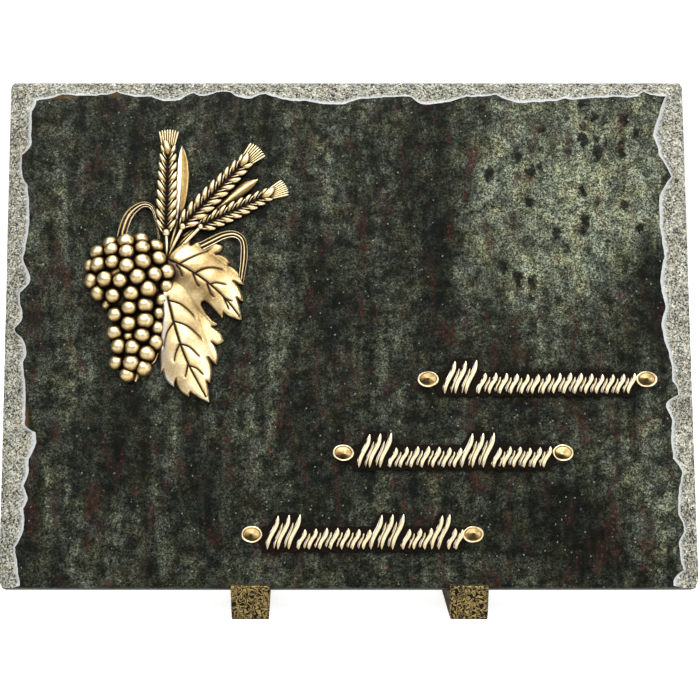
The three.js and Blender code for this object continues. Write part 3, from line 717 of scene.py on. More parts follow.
dress(slab, polished, chipped, sawn)
for face in slab.data.polygons:
    face.material_index = finish_of(face)
white = np.zeros(len(slab.data.vertices))
for number, share in enumerate(BRUISE_SHARES):
    white[number * len(rings[0]):(number + 1) * len(rings[0])] = share
store(slab, "bruise", white)
smooth(slab, 32)
mesh = bmesh.new()
mesh.from_mesh(slab.data)
for edge in mesh.edges:
    if len({face.material_index for face in edge.link_faces}) > 1:
        edge.smooth = False
mesh.to_mesh(slab.data)
mesh.free()
hand_over(slab, "granite_slab_carved", FACE, "granite", "granite_slab")

# %% [markdown]
# The bronze castings were darkened all over with a brown patina and then polished by hand, so the high
# places are bright and the hollows stay dark. A value stored on each mesh says how dark a point is. It holds
# the patina, and painted shade as well: on sides that face away from the front, on the lower sides of the
# grapes and caps and in broad patches on the leaf, while painted glints on the inscriptions make it lighter.
# A second value paints a pale silvery sheen where the bare metal would mirror something bright, which is a
# painted reflection. Bright bronze is a metal and its colour lives in its reflections. Patina is an oxide,
# duller and hardly a metal.

# %% Bronze
CAST_CLOUD, BRUSH_MARK = 1.5, 0.45

bronze, tree, shader = new_material("patinated_bronze")
where = face_millimetres(tree)
# The darkness read here is the patina, with painted shade and painted glints worked into it.
patina_and_painted_light = add(tree, "Attribute", attribute_name="patina_and_painted_light").outputs["Fac"]
painted_sheen = add(tree, "Attribute", attribute_name="painted_sheen").outputs["Fac"]
cloudy = add(tree, "TexNoise", {"Vector": where, "Scale": 1 / CAST_CLOUD, "Detail": 4.0, "Roughness": 0.65})
brushed = add(tree, "TexNoise", {"Vector": where, "Scale": 1 / BRUSH_MARK, "Detail": 3.0, "Roughness": 0.6})
fine = add(tree, "Math", {0: brushed, 1: 0.2, 2: -0.1}, operation="MULTIPLY_ADD")
worn_and_shaded = add(tree, "Math", {0: cloudy, 1: 0.3, 2: patina_and_painted_light}, operation="MULTIPLY_ADD")
worn_and_shaded = add(tree, "Math", {0: worn_and_shaded, 1: fine})
dark = add(tree, "MapRange", {"Value": worn_and_shaded, "From Min": 0.17, "From Max": 1.0})
metal = add(tree, "ValToRGB", {"Fac": dark}, stops=[
    (0.0, "#f9e8c0"), (0.16, "#e3c992"), (0.4, "#a18653"), (0.68, "#4a3722"), (1.0, "#150e08")])
bare = add(tree, "Math", {0: 1.0, 1: dark}, operation="SUBTRACT")
# Painted reflection: where the sheen value is set, the bare metal is mixed towards a pale silver.
pale = add(tree, "Math", {0: painted_sheen, 1: bare}, operation="MULTIPLY")
metal = add(tree, "Mix", {0: pale, 6: metal, 7: colour("#efecef")}, data_type="RGBA")
metallic = add(tree, "MapRange", {"Value": dark, "From Min": 0.45, "To Min": 1.0, "To Max": 0.5})
oxide = add(tree, "MapRange", {"Value": dark, "From Min": 0.45, "To Min": 0.5, "To Max": 0.1})
dullness = add(tree, "MapRange", {"Value": dark, "To Min": 0.34, "To Max": 0.6})
hammered = add(tree, "Math", {0: cloudy, 1: 2.0, 2: brushed}, operation="MULTIPLY_ADD")
bumps = add(tree, "Bump", {"Height": hammered, "Strength": 0.35, "Distance": 0.12 * MM})
wire(shader, {"Base Color": metal.outputs[2], "Metallic": metallic, "Specular IOR Level": oxide,
              "Roughness": dullness, "Normal": bumps})
print(bronze.name, "has", len(tree.nodes), "nodes")

# %% [markdown]
# The ornament is one casting, but it's easiest to model its parts one by one and join them at the end. All
# of them lie flat on the face with their undersides at the same small clearance.

# %% Paths, sections and copies
CLEARANCE = 0.3


def smooth_path(points, steps):
    """A smooth line through listed points, which lie on the face where they have no height."""
    line = [Vector((*point, 0)[:3]) for point in points]
    line = [2 * line[0] - line[1]] + line + [2 * line[-1] - line[-2]]
    path = []
    for p0, p1, p2, p3 in zip(line, line[1:], line[2:], line[3:]):
        for k in range(steps):
            t = k / steps
            path.append(0.5 * (2 * p1 + (p2 - p0) * t + (2 * p0 - 5 * p1 + 4 * p2 - p3) * t * t
                               + (3 * p1 - p0 - 3 * p2 + p3) * t ** 3))
    return path + [line[-2]]


def sweep(name, path, section):
    """Extrudes a section along a path. The section gives (across, up) for a share of the way."""
    rings = []
    for i, point in enumerate(path):
        ahead, behind = path[min(i + 1, len(path) - 1)], path[max(i - 1, 0)]
        along = ahead - behind
        across = Vector((along.y, -along.x, 0)).normalized()
        offsets = section(i / (len(path) - 1))
        rings.append([point + across * a + Vector((0, 0, u)) for a, u in offsets])
    return extrude_rings(name, rings)


def round_section(radius, sides=10):
    turns = [2 * math.pi * i / sides for i in range(sides)]
    return [(radius * math.cos(turn), radius * math.sin(turn)) for turn in turns]


def copy_of(piece, matrix):
    """A copy with its own mesh, put in place."""
    twin = piece.copy()
    twin.data = piece.data.copy()
    twin.data.transform(matrix)
    bpy.context.collection.objects.link(twin)
    return twin


def mix(a, b, share):
    return a + (b - a) * share


# %% [markdown]
# The bunch of grapes: a modeller builds a smooth core first, then lays the grapes on it row by row from the
# top, a little overlapped. The grapes are spheres with small dents, each turned another way, so that no two
# catch the light alike.

# %% Grapes
BUNCH_TOP, BUNCH_TIP = Vector((-126.5, 205.0)), Vector((-122.8, 118.5))
BUNCH_WIDTH, BUNCH_HEIGHT = 43.0, 20.5
BUNCH_PROFILE = [(0, 0.02), (0.08, 0.6), (0.17, 0.86), (0.28, 1), (0.39, 0.88), (0.53, 0.58), (0.73, 0.48),
                 (0.85, 0.4), (0.93, 0.24), (1, 0.02)]
GRAPE_RADIUS, GRAPE_SEAT, GRAPE_BEDDING, GRAPE_DENT, DENT_SIZE = 4.95, 3.4, 0.84, 0.055, 3.4
GRAPE_ROWS = [
    [(-138.1, 198.6), (-128.9, 199.3), (-120.4, 200.9), (-111.8, 197.3)],
    [(-145.1, 193.7), (-136.8, 194.4), (-128.2, 192.6), (-119.5, 195.4)],
    [(-149.6, 186.4), (-144.4, 185.9), (-136.1, 186.8), (-127.8, 184.2), (-119.0, 186.8), (-110.0, 189.4)],
    [(-148.7, 177.2), (-140.4, 177.1), (-131.4, 175.9), (-121.6, 177.8), (-112.4, 179.7), (-105.5, 182.0)],
    [(-144.4, 170.3), (-135.7, 167.5), (-125.2, 168.6), (-115.8, 171.2), (-105.9, 173.9)],
    [(-139.4, 163.5), (-126.3, 160.4), (-117.4, 162.0), (-108.3, 165.9)],
    [(-134.5, 156.6), (-126.5, 151.2), (-117.6, 152.9), (-109.8, 157.8)],
    [(-134.7, 146.4), (-126.5, 143.8), (-119.1, 144.3), (-110.6, 149.1)],
    [(-132.3, 138.2), (-124.4, 137.2), (-111.5, 140.7)],
    [(-133.6, 129.3), (-125.0, 128.3), (-116.5, 134.0)],
    [(-127.3, 122.1), (-118.3, 125.9)],
]
SMALL_GRAPES = {(-149.6, 186.4): 0.86, (-139.4, 163.5): 0.72, (-126.5, 143.8): 0.66}
SMALL_GRAPE_DROP = 1.2


def bunch_half_width(share):
    """Half the bunch's width at a share of the way down it."""
    places, widths = zip(*BUNCH_PROFILE)
    return float(np.interp(share, places, widths)) * BUNCH_WIDTH / 2


def bunch_rise(x, y):
    """How far the core stands out at a place."""
    share = min(max((BUNCH_TOP.y - y) / (BUNCH_TOP.y - BUNCH_TIP.y), 0.01), 0.99)
    half = bunch_half_width(share)
    across = (x - mix(BUNCH_TOP.x, BUNCH_TIP.x, share)) / half
    return half / BUNCH_WIDTH * BUNCH_HEIGHT * math.sqrt(max(0.0, 1 - across * across))


def core_section(share):
    """An arch over the face, as wide and high as the bunch is there."""
    half = max(bunch_half_width(share), 0.4)
    height = half / BUNCH_WIDTH * BUNCH_HEIGHT + 1.2
    return [(half * math.cos(turn), CLEARANCE + height * math.sin(turn))
            for turn in np.linspace(math.pi, 0, 15)]


core_path = [Vector((*BUNCH_TOP.lerp(BUNCH_TIP, k / 30), 0)) for k in range(31)]
ornament_parts = [sweep("bunch_core", core_path, core_section)]

bpy.ops.object.select_all(action="DESELECT")
bpy.ops.mesh.primitive_uv_sphere_add(segments=22, ring_count=14, radius=GRAPE_RADIUS)
grape = bpy.context.object
grapes = []
for row in GRAPE_ROWS:
    for x, y in row:
        seed = len(grapes)
        size = SMALL_GRAPES.get((x, y), 1.0 + 0.05 * math.sin(seed * 2.3))
        stretch = Matrix.Diagonal((size, size * (1 + 0.06 * math.sin(seed * 1.7)), size, 1))
        turn = Matrix.Rotation(seed * 1.9, 4, "Z") @ Matrix.Rotation(0.5 * math.sin(seed), 4, "X")
        height = GRAPE_SEAT + GRAPE_BEDDING * bunch_rise(x, y) + 0.35 * math.sin(seed * 3.1)
        if (x, y) in SMALL_GRAPES:
            height -= SMALL_GRAPE_DROP
        made = copy_of(grape, turn @ stretch)
        for vertex in made.data.vertices:
            dent = noise.noise(vertex.co / DENT_SIZE + Vector((seed * 7.7, 0, 0)))
            vertex.co *= 1 + GRAPE_DENT * dent
        # Painted shade: besides a plain darker tone, each grape is darker on its lower side and towards the
        # stone.
        mark(made, "tone", by_point=lambda spot: 0.13 + 0.07 * max(0.0, -spot.y) + 0.02 * (4 - spot.z))
        made.data.transform(Matrix.Translation((x, y, height)))
        grapes.append(made)
bpy.data.objects.remove(grape)
print("grapes:", len(grapes))
ornament_parts += grapes

# %% [markdown]
# The vine leaf has two lobes with a toothed edge. Its outline is a list of tooth tips and notches, and the
# number behind each says how far the edge swells out before the next. A boolean could cut it out of a block
# like a cookie, but leaves slivers in the narrow notches. So the outline is filled with small, even
# triangles, which also gives the height of every point a free choice: hollows, crowns, veins and a soft rim.

# %% Leaf outline
LEAF_EDGE = [
    ((-105.0, 190.0), 1.1), ((-91.7, 202.3), -0.2), ((-91.6, 199.2), 0.7), ((-84.6, 201.7), -0.2),
    ((-84.2, 199.2), 1.7), ((-72.9, 198.6), 0.9), ((-77.0, 193.8), 1.5), ((-68.2, 188.5), 0.0),
    ((-69.6, 187.4), 2.0), ((-60.3, 175.6), 0.4), ((-66.3, 177.1), 1.5), ((-61.0, 165.2), 0.3),
    ((-64.4, 167.0), 0.5), ((-61.6, 153.9), 0.7), ((-72.2, 158.6), -0.2), ((-72.6, 155.2), 0.0),
    ((-78.5, 161.8), -0.3), ((-83.2, 165.8), -1.3), ((-84.9, 162.2), -0.9), ((-76.0, 151.9), 0.2),
    ((-78.9, 150.7), 1.0), ((-72.2, 142.5), 1.9), ((-78.9, 141.9), 1.9), ((-75.9, 128.3), 0.3),
    ((-80.9, 132.4), 1.8), ((-79.8, 117.2), 0.0), ((-81.7, 118.3), 0.5), ((-79.9, 105.6), 0.4),
    ((-91.2, 112.1), -0.1), ((-91.6, 109.3), 2.2), ((-99.2, 120.1), -0.2), ((-100.6, 115.0), 1.6),
    ((-107.1, 125.4), 0.0), ((-108.3, 123.0), 1.4), ((-107.0, 156.0), 0.0), ((-108.0, 174.0), 0.0),
]
ARC_STEPS = 7


def arcs_through(corners, steps):
    """A closed line through corners, each stretch swelling to the left of its way by its own amount."""
    line = []
    for (start, swell), (end, _) in zip(corners, corners[1:] + corners[:1]):
        start, end = Vector(start), Vector(end)
        way = end - start
        out = Vector((-way.y, way.x)).normalized()
        for k in range(steps):
            share = k / steps
            line.append(start.lerp(end, share) + out * swell * 4 * share * (1 - share))
    return line


leaf_line = arcs_through(LEAF_EDGE, ARC_STEPS)
print("points round the leaf:", len(leaf_line))

# %% [markdown]
# A leaf's surface is a height for every place on it. Each lobe is a dome along its rib, the two domes meet
# in a valley, and the blade swells softly between its veins. The veins are narrow grooves that run out of
# the ribs. The same function also tells how dark a groove is, because the patina was never polished out of
# it.

# %% Leaf surface
LEAF_RIM, LEAF_CROWN, LEAF_REACH = 2.5, 4.9, 15.5
RIB_WIDTH, RIB_TAPER, VEIN_WIDTH, VEIN_TAPER = 0.78, 0.35, 0.62, 0.2
GROOVE_DEPTH, PILLOW_RISE, PILLOW_REACH, FOLD_RISE, RIM_DROP = 0.8, 0.4, 3.8, 1.5, 1.3
RIBS = [
    [(-106, 190), (-98, 186.7), (-88.5, 181), (-79.7, 174.5), (-71, 166.2), (-62.6, 155.6)],
    [(-104.5, 167), (-101, 153), (-96.8, 139.5), (-91.5, 126.6), (-81.8, 108.6)],
]
VEINS = [
    [(-98.3, 186.6), (-87.6, 192.7), (-78.3, 197.2)], [(-99.6, 186.3), (-97.2, 182.7), (-95.8, 178.5)],
    [(-88.6, 181.5), (-83.4, 184.1), (-77.9, 184.9), (-70.3, 183.4)],
    [(-79.9, 174.8), (-76.0, 175.6), (-69.6, 174.3)],
    [(-89.9, 181.0), (-88.2, 176.4), (-86.1, 172.5)], [(-81.6, 175.0), (-79.9, 170.1), (-77.4, 166.2)],
    [(-71.8, 166.6), (-69.8, 162.0), (-68.8, 158.9)], [(-71.0, 166.2), (-66.4, 164.3)],
    [(-103.9, 165.2), (-97.0, 163.2), (-91.0, 158.4), (-87.3, 154.3)],
    [(-100.6, 152.9), (-93.4, 150.5), (-87.3, 145.8), (-83.4, 141.4)],
    [(-96.6, 139.5), (-91.2, 137.6), (-84.4, 131.0)], [(-91.2, 126.8), (-87.0, 125.1), (-82.6, 120.6)],
    [(-101.0, 152.0), (-105.0, 145.6), (-107.0, 135.8)], [(-97.4, 139.2), (-99.6, 133.8), (-100.5, 128.2)],
    [(-92.3, 127.5), (-94.1, 119.2)],
]
# The line along the leaf's left margin where a pale sheen is painted, which is a painted reflection.
PAINTED_SHEEN_MARGIN = [(-106.5, 168), (-106.5, 150), (-107.5, 125), (-101, 114)]
# Patches of painted shade on the leaf, most of them under the upper rib and over the lobes: the middle, the
# width and height, and how dark it is.
LEAF_PAINTED_SHADES = [
    (-101, 181, 4, 6, 0.42), (-94, 179, 4.5, 3.4, 0.3), (-87, 174, 4.5, 3, 0.28), (-80, 167, 4.5, 3, 0.3),
    (-103, 188, 3, 4, 0.3), (-88, 150, 5, 4, 0.1), (-80, 170, 4, 3, 0.15), (-77, 187, 13, 11, 0.27),
    (-90, 159, 8, 5, 0.16), (-66, 172, 5, 8, 0.06),
]


def way_to(points, line):
    """The distance from each point to a line, and how far along the line that is, as a share."""
    line = np.array([tuple(spot)[:2] for spot in line], float)
    steps = np.linalg.norm(np.diff(line, axis=0), axis=1)
    best = np.full(len(points), np.inf)
    share = np.zeros(len(points))
    for i, step in enumerate(steps):
        way = line[i + 1] - line[i]
        t = np.clip((points - line[i]) @ way / step ** 2, 0, 1)
        away = np.linalg.norm(points - line[i] - t[:, None] * way, axis=1)
        closer = away < best
        best[closer] = away[closer]
        share[closer] = (steps[:i].sum() + t[closer] * step) / steps.sum()
    return best, share


def leaf_surface(points):
    """Height of the leaf and darkness of its grooves at each point."""
    ribs = [way_to(points, smooth_path(rib, 6)) for rib in RIBS]
    away = np.minimum(ribs[0][0], ribs[1][0]) / LEAF_REACH
    height = LEAF_RIM + LEAF_CROWN * np.clip(1 - away ** 2, 0, 1)
    groove = np.zeros(len(points))
    nearest = np.full(len(points), np.inf)
    for away_rib, share in ribs:
        width = RIB_WIDTH - RIB_TAPER * share
        groove = np.maximum(groove, np.exp(-(away_rib / width) ** 2))
        nearest = np.minimum(nearest, away_rib)
    for vein in VEINS:
        away_vein, share = way_to(points, smooth_path(vein, 5))
        width = VEIN_WIDTH - VEIN_TAPER * share
        fading = np.clip((1 - share) * 6, 0, 1) * (1 - 0.3 * share)
        groove = np.maximum(groove, np.exp(-(away_vein / width) ** 2) * fading)
        nearest = np.minimum(nearest, away_vein + 6 * share ** 6)
    edge_away, _ = way_to(points, [*leaf_line, leaf_line[0]])
    fold_away, _ = way_to(points, leaf_line[:ARC_STEPS + 1])
    height += PILLOW_RISE * (1 - np.exp(-(nearest / PILLOW_REACH) ** 2))
    height += FOLD_RISE * np.exp(-((fold_away - 0.7) / 1.1) ** 2)
    height -= GROOVE_DEPTH * groove
    height -= RIM_DROP * np.exp(-(edge_away / 0.55) ** 2)
    return height, groove


def leaf_tarnish_and_painted_shade(points):
    """Broad soft darkness on the leaf: a random tarnish, and patches of painted shade."""
    total = np.array([0.14 + 0.14 * noise.noise(Vector((x, y, 0)) / 7.0) for x, y in points])
    for x, y, wide, high, amount in LEAF_PAINTED_SHADES:
        away = ((points[:, 0] - x) / wide) ** 2 + ((points[:, 1] - y) / high) ** 2
        total += amount * np.exp(-away)
    return total


print("ribs and veins:", len(RIBS) + len(VEINS))

# %% [markdown]
# The leaf is built from its outline inwards. Points on an even grid fill it, and two rows of points follow
# the edge, so that the soft rim is as clean as the outline. Each point gets its height, and the rim is
# extruded down to the face.

# %% The leaf
LEAF_CELL = 0.46
SOFT_RIM = (0.22, 0.55)


def inside(points, line):
    """Which points lie inside a closed line: a ray to the right crosses it an odd number of times."""
    odd = np.zeros(len(points), bool)
    for a, b in zip(line, line[1:] + line[:1]):
        if a.y != b.y:
            spans = (a.y > points[:, 1]) != (b.y > points[:, 1])
            odd ^= spans & (points[:, 0] < a.x + (points[:, 1] - a.y) / (b.y - a.y) * (b.x - a.x))
    return odd


def filled(line, cell, insets):
    """Even triangles inside a closed line, with a few rows of points that follow it."""
    corners = np.array([tuple(point) for point in line])
    low, high = corners.min(axis=0), corners.max(axis=0)
    rows = enumerate(np.arange(low[1], high[1], cell * 0.866))
    points = np.array([(x + (number % 2) * cell / 2, y) for number, y in rows
                       for x in np.arange(low[0], high[0], cell)])
    away, _ = way_to(points, [*line, line[0]])
    points = points[inside(points, line) & (away > insets[-1] + 0.2)]
    for inset in insets:
        sideways = [Vector((b.y - a.y, a.x - b.x)).normalized() * inset
                    for a, b in zip([line[-1], *line[:-1]], line[1:] + line[:1])]
        row = np.array([tuple(point + move) for point, move in zip(line, sideways)])
        away, _ = way_to(row, [*line, line[0]])
        points = np.vstack([points, row[inside(row, line) & (away > 0.8 * inset)]])
    rim = [(i, (i + 1) % len(line)) for i in range(len(line))]
    flat = [Vector(point) for point in line] + [Vector(point) for point in points]
    made = geometry.delaunay_2d_cdt(flat, rim, [], 1, 1e-4)
    return made[0], made[2]


spots, faces = filled(leaf_line, LEAF_CELL, SOFT_RIM)
heights, _ = leaf_surface(np.array([tuple(spot) for spot in spots]))
leaf_mesh = bpy.data.meshes.new("leaf")
leaf_mesh.from_pydata([(spot.x, spot.y, height) for spot, height in zip(spots, heights)], [], faces)
leaf = bpy.data.objects.new("leaf", leaf_mesh)
bpy.context.collection.objects.link(leaf)
pick(leaf)
bpy.ops.object.mode_set(mode="EDIT")
bpy.ops.mesh.select_mode(type="EDGE")
bpy.ops.mesh.select_all(action="DESELECT")
bpy.ops.mesh.select_non_manifold()
bpy.ops.mesh.extrude_edges_indiv()
mesh = bmesh.from_edit_mesh(leaf.data)
for vertex in mesh.verts:
    if vertex.select:
        vertex.co.z = CLEARANCE
bmesh.update_edit_mesh(leaf.data)
bpy.ops.mesh.edge_face_add()
bpy.ops.mesh.select_all(action="SELECT")
bpy.ops.mesh.normals_make_consistent(inside=False)
bpy.ops.object.mode_set(mode="OBJECT")
print("leaf triangles:", triangles(leaf))
ornament_parts.append(leaf)

# %% [markdown]
# An ear of wheat is a herringbone of plump grains, each with a thin husk under it. One grain and one husk are
# modelled, to be copied later. The grain is a ball that is drawn out, bent to one side and made slim towards
# its tip.

# %% One grain and its husk
EARS = [
    {"base": (-106.0, 207.0), "tip": (-105.3, 257.0), "width": 12.6, "pairs": 9, "lift": 4.7},
    {"base": (-95.6, 210.6), "tip": (-59.8, 248.6), "width": 12.7, "pairs": 9, "lift": 5.9},
    {"base": (-84.6, 210.2), "tip": (-46.2, 228.8), "width": 10.8, "pairs": 8, "lift": 5.1},
]
GRAIN_LENGTH, GRAIN_WIDTH, GRAIN_HEIGHT, GRAIN_SPLAY, GRAIN_BEND = 9.5, 4.1, 4.3, 47.0, 1.7

bpy.ops.object.select_all(action="DESELECT")
bpy.ops.mesh.primitive_uv_sphere_add(segments=14, ring_count=11, radius=0.5)
grain = bpy.context.object
grain.data.transform(Matrix.Rotation(math.pi / 2, 4, "X"))
for vertex in grain.data.vertices:
    share = vertex.co.y + 0.5
    slim = 1 - 0.2 * abs(share - 0.4) - 0.3 * max(0.0, share - 0.65)
    vertex.co.x = vertex.co.x * GRAIN_WIDTH * slim - GRAIN_BEND * share ** 2
    vertex.co.y = share * GRAIN_LENGTH
    vertex.co.z *= GRAIN_HEIGHT * slim

HUSK_LENGTH = 7
husk_path = [Vector((-GRAIN_BEND * (k / HUSK_LENGTH) ** 2, k, 0.25 * math.sin(k / HUSK_LENGTH * math.pi)))
             for k in range(HUSK_LENGTH + 1)]
husk = sweep("husk", husk_path, lambda share: round_section(0.2 + 0.4 * math.sin(math.pi * share), 6))
# Painted highlight: the husk is given a little pale silvery sheen.
mark(husk, "painted_sheen", by_point=lambda spot: 0.3)
mark(husk, "tone", by_point=lambda spot: 0.34)
mark(grain, "tone", by_point=lambda spot: 0.06 + 0.36 * (1 - spot.y / GRAIN_LENGTH))
print("triangles of a grain:", triangles(grain))

# %% [markdown]
# The grains are copied up both sides of a rounded stalk, getting smaller near the tip, and the last one points
# straight out. A fan of fine bristles spreads out behind it, with a thin dark web between them.

# %% Ears of wheat
FAN_RIBS, FAN_START, FAN_END, FAN_LENGTH = 8, 5.6, 11.0, 13.2


def ear_parts(number, base, tip, width, pairs, lift):
    """All the pieces of one ear, in place."""
    base, tip = Vector(base), Vector(tip)
    along = (tip - base).normalized()
    heading = math.atan2(along.y, along.x) - math.pi / 2
    length = (tip - base).length
    parts = []

    def put(piece, distance, aside, turn, size, height):
        spot = base + along * distance + Vector((along.y, -along.x)) * aside
        mirror = Matrix.Diagonal((math.copysign(size, aside), size, size, 1))
        turned = Matrix.Translation((*spot, height)) @ Matrix.Rotation(heading + turn, 4, "Z")
        twin = copy_of(piece, turned @ mirror)
        if aside < 0:
            twin.data.flip_normals()
        parts.append(twin)

    for pair in range(pairs):
        share = pair / (pairs - 1)
        size = (width / EARS[0]["width"]) * (1 - 0.24 * share ** 3) * (0.92 + 0.08 * min(1.0, 4 * share))
        distance = share * (length - 4.5)
        for side in (-1, 1):
            splay = -side * math.radians(GRAIN_SPLAY - 6 * share)
            put(grain, distance, side * 0.55, splay, size, lift + 0.12 * math.sin(7 * pair + side + number))
            put(husk, distance - 2.4, side * 0.6, splay, size, lift + 1.1)
    last = Matrix.Translation((*(tip - along * 4.6), lift + 0.5)) @ Matrix.Rotation(heading, 4, "Z")
    parts.append(copy_of(grain, last @ Matrix.Diagonal((1.15, 0.98, 0.9, 1))))

    def backing(share):
        half = 0.5 * width * (1 - 0.4 * max(0.0, share - 0.7) / 0.3) * min(1.0, 0.45 + share * 5)
        return [(half * math.cos(turn), CLEARANCE + (lift + 0.2) * math.sin(turn) ** 0.7)
                for turn in np.linspace(math.pi, 0, 11)]

    spine = [Vector((*(base + along * (length - 1) * k / 16), 0)) for k in range(17)]
    parts.append(mark(sweep("ear_backing", spine, backing), "tone", by_point=lambda spot: 0.75))
    sideways = Vector((along.y, -along.x))
    root = tip - along * 1.5

    def in_fan(aside, reach, height):
        """A place in the fan, from -0.5 to 0.5 across it and 0 to 1 out along it."""
        far = FAN_LENGTH * reach * (1 - 0.34 * aside * aside)
        across = aside * mix(FAN_START, FAN_END, reach) * width / EARS[0]["width"]
        return Vector((*(root + along * far + sideways * across), height))

    for rib in range(FAN_RIBS):
        aside = rib / (FAN_RIBS - 1) - 0.5
        line = [in_fan(aside, k / 9, lift - 0.6 - 1.3 * k / 9) for k in range(10)]
        bristle = sweep("bristle", line, lambda t: round_section(mix(0.36, 0.66, t) if t < 0.95 else 0.35, 8))
        parts.append(mark(bristle, "tone", by_point=lambda spot: -0.05))
    web = [in_fan(k / 12 - 0.5, 0.95, 0) for k in range(13)] + [in_fan(0.5, 0.0, 0), in_fan(-0.5, 0.0, 0)]
    web = extrude_rings("web", [[(p.x, p.y, z) for p in web] for z in (CLEARANCE, lift - 2.3)])
    parts.append(mark(web, "tone", by_point=lambda spot: 0.8))
    return parts


for number, ear in enumerate(EARS):
    ornament_parts += ear_parts(number, **ear)
bpy.data.objects.remove(grain)
bpy.data.objects.remove(husk)
print("parts of the ornament so far:", len(ornament_parts))

# %% [markdown]
# Five stems come together under the ears. A stem is a round rod swept along a line, and three of them end
# in a small knot under an ear.

# %% Stems and knots
STEMS = [
    [(-105.6, 190.5, 5.0), (-105.4, 197, 5.2), (-105.9, 205.5, 5.0)],
    [(-104.6, 190.5, 5.0), (-101, 199, 6.2), (-96.4, 208.8, 6.2)],
    [(-103.6, 190.5, 4.6), (-96, 198.5, 5.4), (-86, 209, 5.6)],
    [(-105.2, 188.5, 3.6), (-103, 199, 3.8), (-99.4, 213, 3.8)],
    [(-104.0, 189.5, 3.4), (-98, 199, 3.6), (-89, 208, 3.8)],
]
KNOTS = [((-105.8, 205.7, 5.2), 2.3), ((-96.2, 209.2, 6.5), 1.9), ((-85.8, 209.3, 5.8), 1.7)]

for line in STEMS:
    path = smooth_path(line, 8)
    ornament_parts.append(sweep("stem", path, lambda share: round_section(mix(0.75, 1.0, share))))
for place, radius in KNOTS:
    bpy.ops.object.select_all(action="DESELECT")
    bpy.ops.mesh.primitive_uv_sphere_add(segments=16, ring_count=10, radius=radius, location=place)
    knot = pick(bpy.context.object)
    bpy.ops.object.transform_apply(location=True, rotation=True, scale=True)
    ornament_parts.append(knot)
print("stems and knots:", len(STEMS) + len(KNOTS))

# %% [markdown]
# Two long blades of the wheat stand between the ears. One is hollowed, with raised rims, and the other has a
# rib along its middle. Both are a flat section swept along a line, which grows and shrinks on its way.

# %% Long blades
# Each blade: its line, its width and height, and what is raised on it.
BLADE_LINES = [
    ([(-101.5, 200), (-98.9, 214), (-97.0, 232), (-96.6, 246), (-97.2, 258.6)], 8.2, 6.6, "rims"),
    ([(-96, 204), (-83.5, 214.5), (-72, 224), (-62, 232.2), (-52.4, 238.4)], 9.2, 6.4, "rib"),
]
BLADE_WIDTHS = [(0, 0.3), (0.2, 0.45), (0.45, 0.9), (0.65, 1.0), (0.82, 0.78), (0.94, 0.36), (1, 0.03)]
BLADE_ACROSS = [-1 + k / 6 for k in range(13)]


def blade_section(width, height, kind):
    """A blade's section, which swells and thins along the blade."""
    def section(share):
        places, widths = zip(*BLADE_WIDTHS)
        size = float(np.interp(share, places, widths))
        half, top = max(0.5 * width * size, 0.15), mix(height - 1.4, height, math.sin(math.pi * share)) * 0.72
        points = [(half, CLEARANCE), (-half, CLEARANCE)]
        for t in BLADE_ACROSS:
            shape = t * t if kind == "rims" else (1 - abs(t)) ** 0.8
            lip = 1 - max(0.0, abs(t) - 0.82) * 2.4
            points.append((half * t, max(CLEARANCE + 0.2, (top - 1.0 * size * (1 - shape)) * lip)))
        return points
    return section


for line, width, height, kind in BLADE_LINES:
    blade = sweep("blade", smooth_path(line, 10), blade_section(width, height, kind))
    if kind == "rims":
        # Painted reflection: the hollowed blade's left third is pale and silvery, and the rest is darker
        # except at its right rim.
        mark(blade, "tone", by_place=[0, 0] + [0.43 * (1 - t ** 6) * (t > -0.3) for t in BLADE_ACROSS])
        mark(blade, "painted_sheen", by_place=[0, 0] + [0.9 * (t < -0.3) for t in BLADE_ACROSS])
    else:
        mark(blade, "tone", by_place=[0, 0] + [0.1 + 0.36 * math.sin(math.pi * abs(t)) for t in BLADE_ACROSS])
    ornament_parts.append(blade)
print("blades:", len(BLADE_LINES))

# %% [markdown]
# A ribbon ties the stems, and its two loops stand out at the sides. It has two grooves along it. The same
# sweep makes it, with a wave across its section. A short tendril below the leaf is the last part, and then
# all are joined into one casting.

# %% Ribbons and tendril
# Each loop: its line, and its widths and heights on the way.
RIBBON_LINES = [
    ([(-131.8, 199), (-131.5, 207), (-127.6, 217.2), (-120.6, 222.8), (-114.6, 221.4), (-111.6, 213),
      (-109.3, 199)], [5.6, 5.4, 5.0, 3.2, 2.2, 1.5, 1.4], [2.6, 2.8, 3.2, 4.2, 5.0, 5.2, 4.6]),
    ([(-86, 198), (-79, 201.6), (-72.5, 204.6), (-66, 205.2), (-61.2, 201.4), (-60.4, 192),
      (-62.2, 177)], [4.6, 4.6, 4.2, 3.6, 3.4, 4.0, 3.0], [3.4, 3.6, 3.9, 4.4, 4.4, 4.0, 3.2]),
]
RIBBON_ACROSS = [-1 + k / 8 for k in range(17)]
RIDGE = 0.55
TENDRIL = [(-108.5, 137, 2.0), (-110.6, 133.6, 2.4), (-112.4, 130, 2.6), (-115.5, 128.2, 2.2)]


def ridges(t):
    """A wave across the ribbon, 1 on its ridges and 0 in its grooves."""
    return 0.5 + 0.5 * math.cos(2 * math.pi * (t - 1))


def ribbon_section(widths, heights):
    """A ribbon's section, with three ridges and two grooves."""
    def section(share):
        spot = share * (len(widths) - 1)
        half = float(np.interp(spot, range(len(widths)), widths)) / 2
        top = float(np.interp(spot, range(len(heights)), heights))
        ridge = RIDGE * min(1.0, half / 2)
        points = [(half, CLEARANCE), (-half, CLEARANCE)]
        return points + [(half * t, top - ridge + ridge * ridges(t)) for t in RIBBON_ACROSS]
    return section


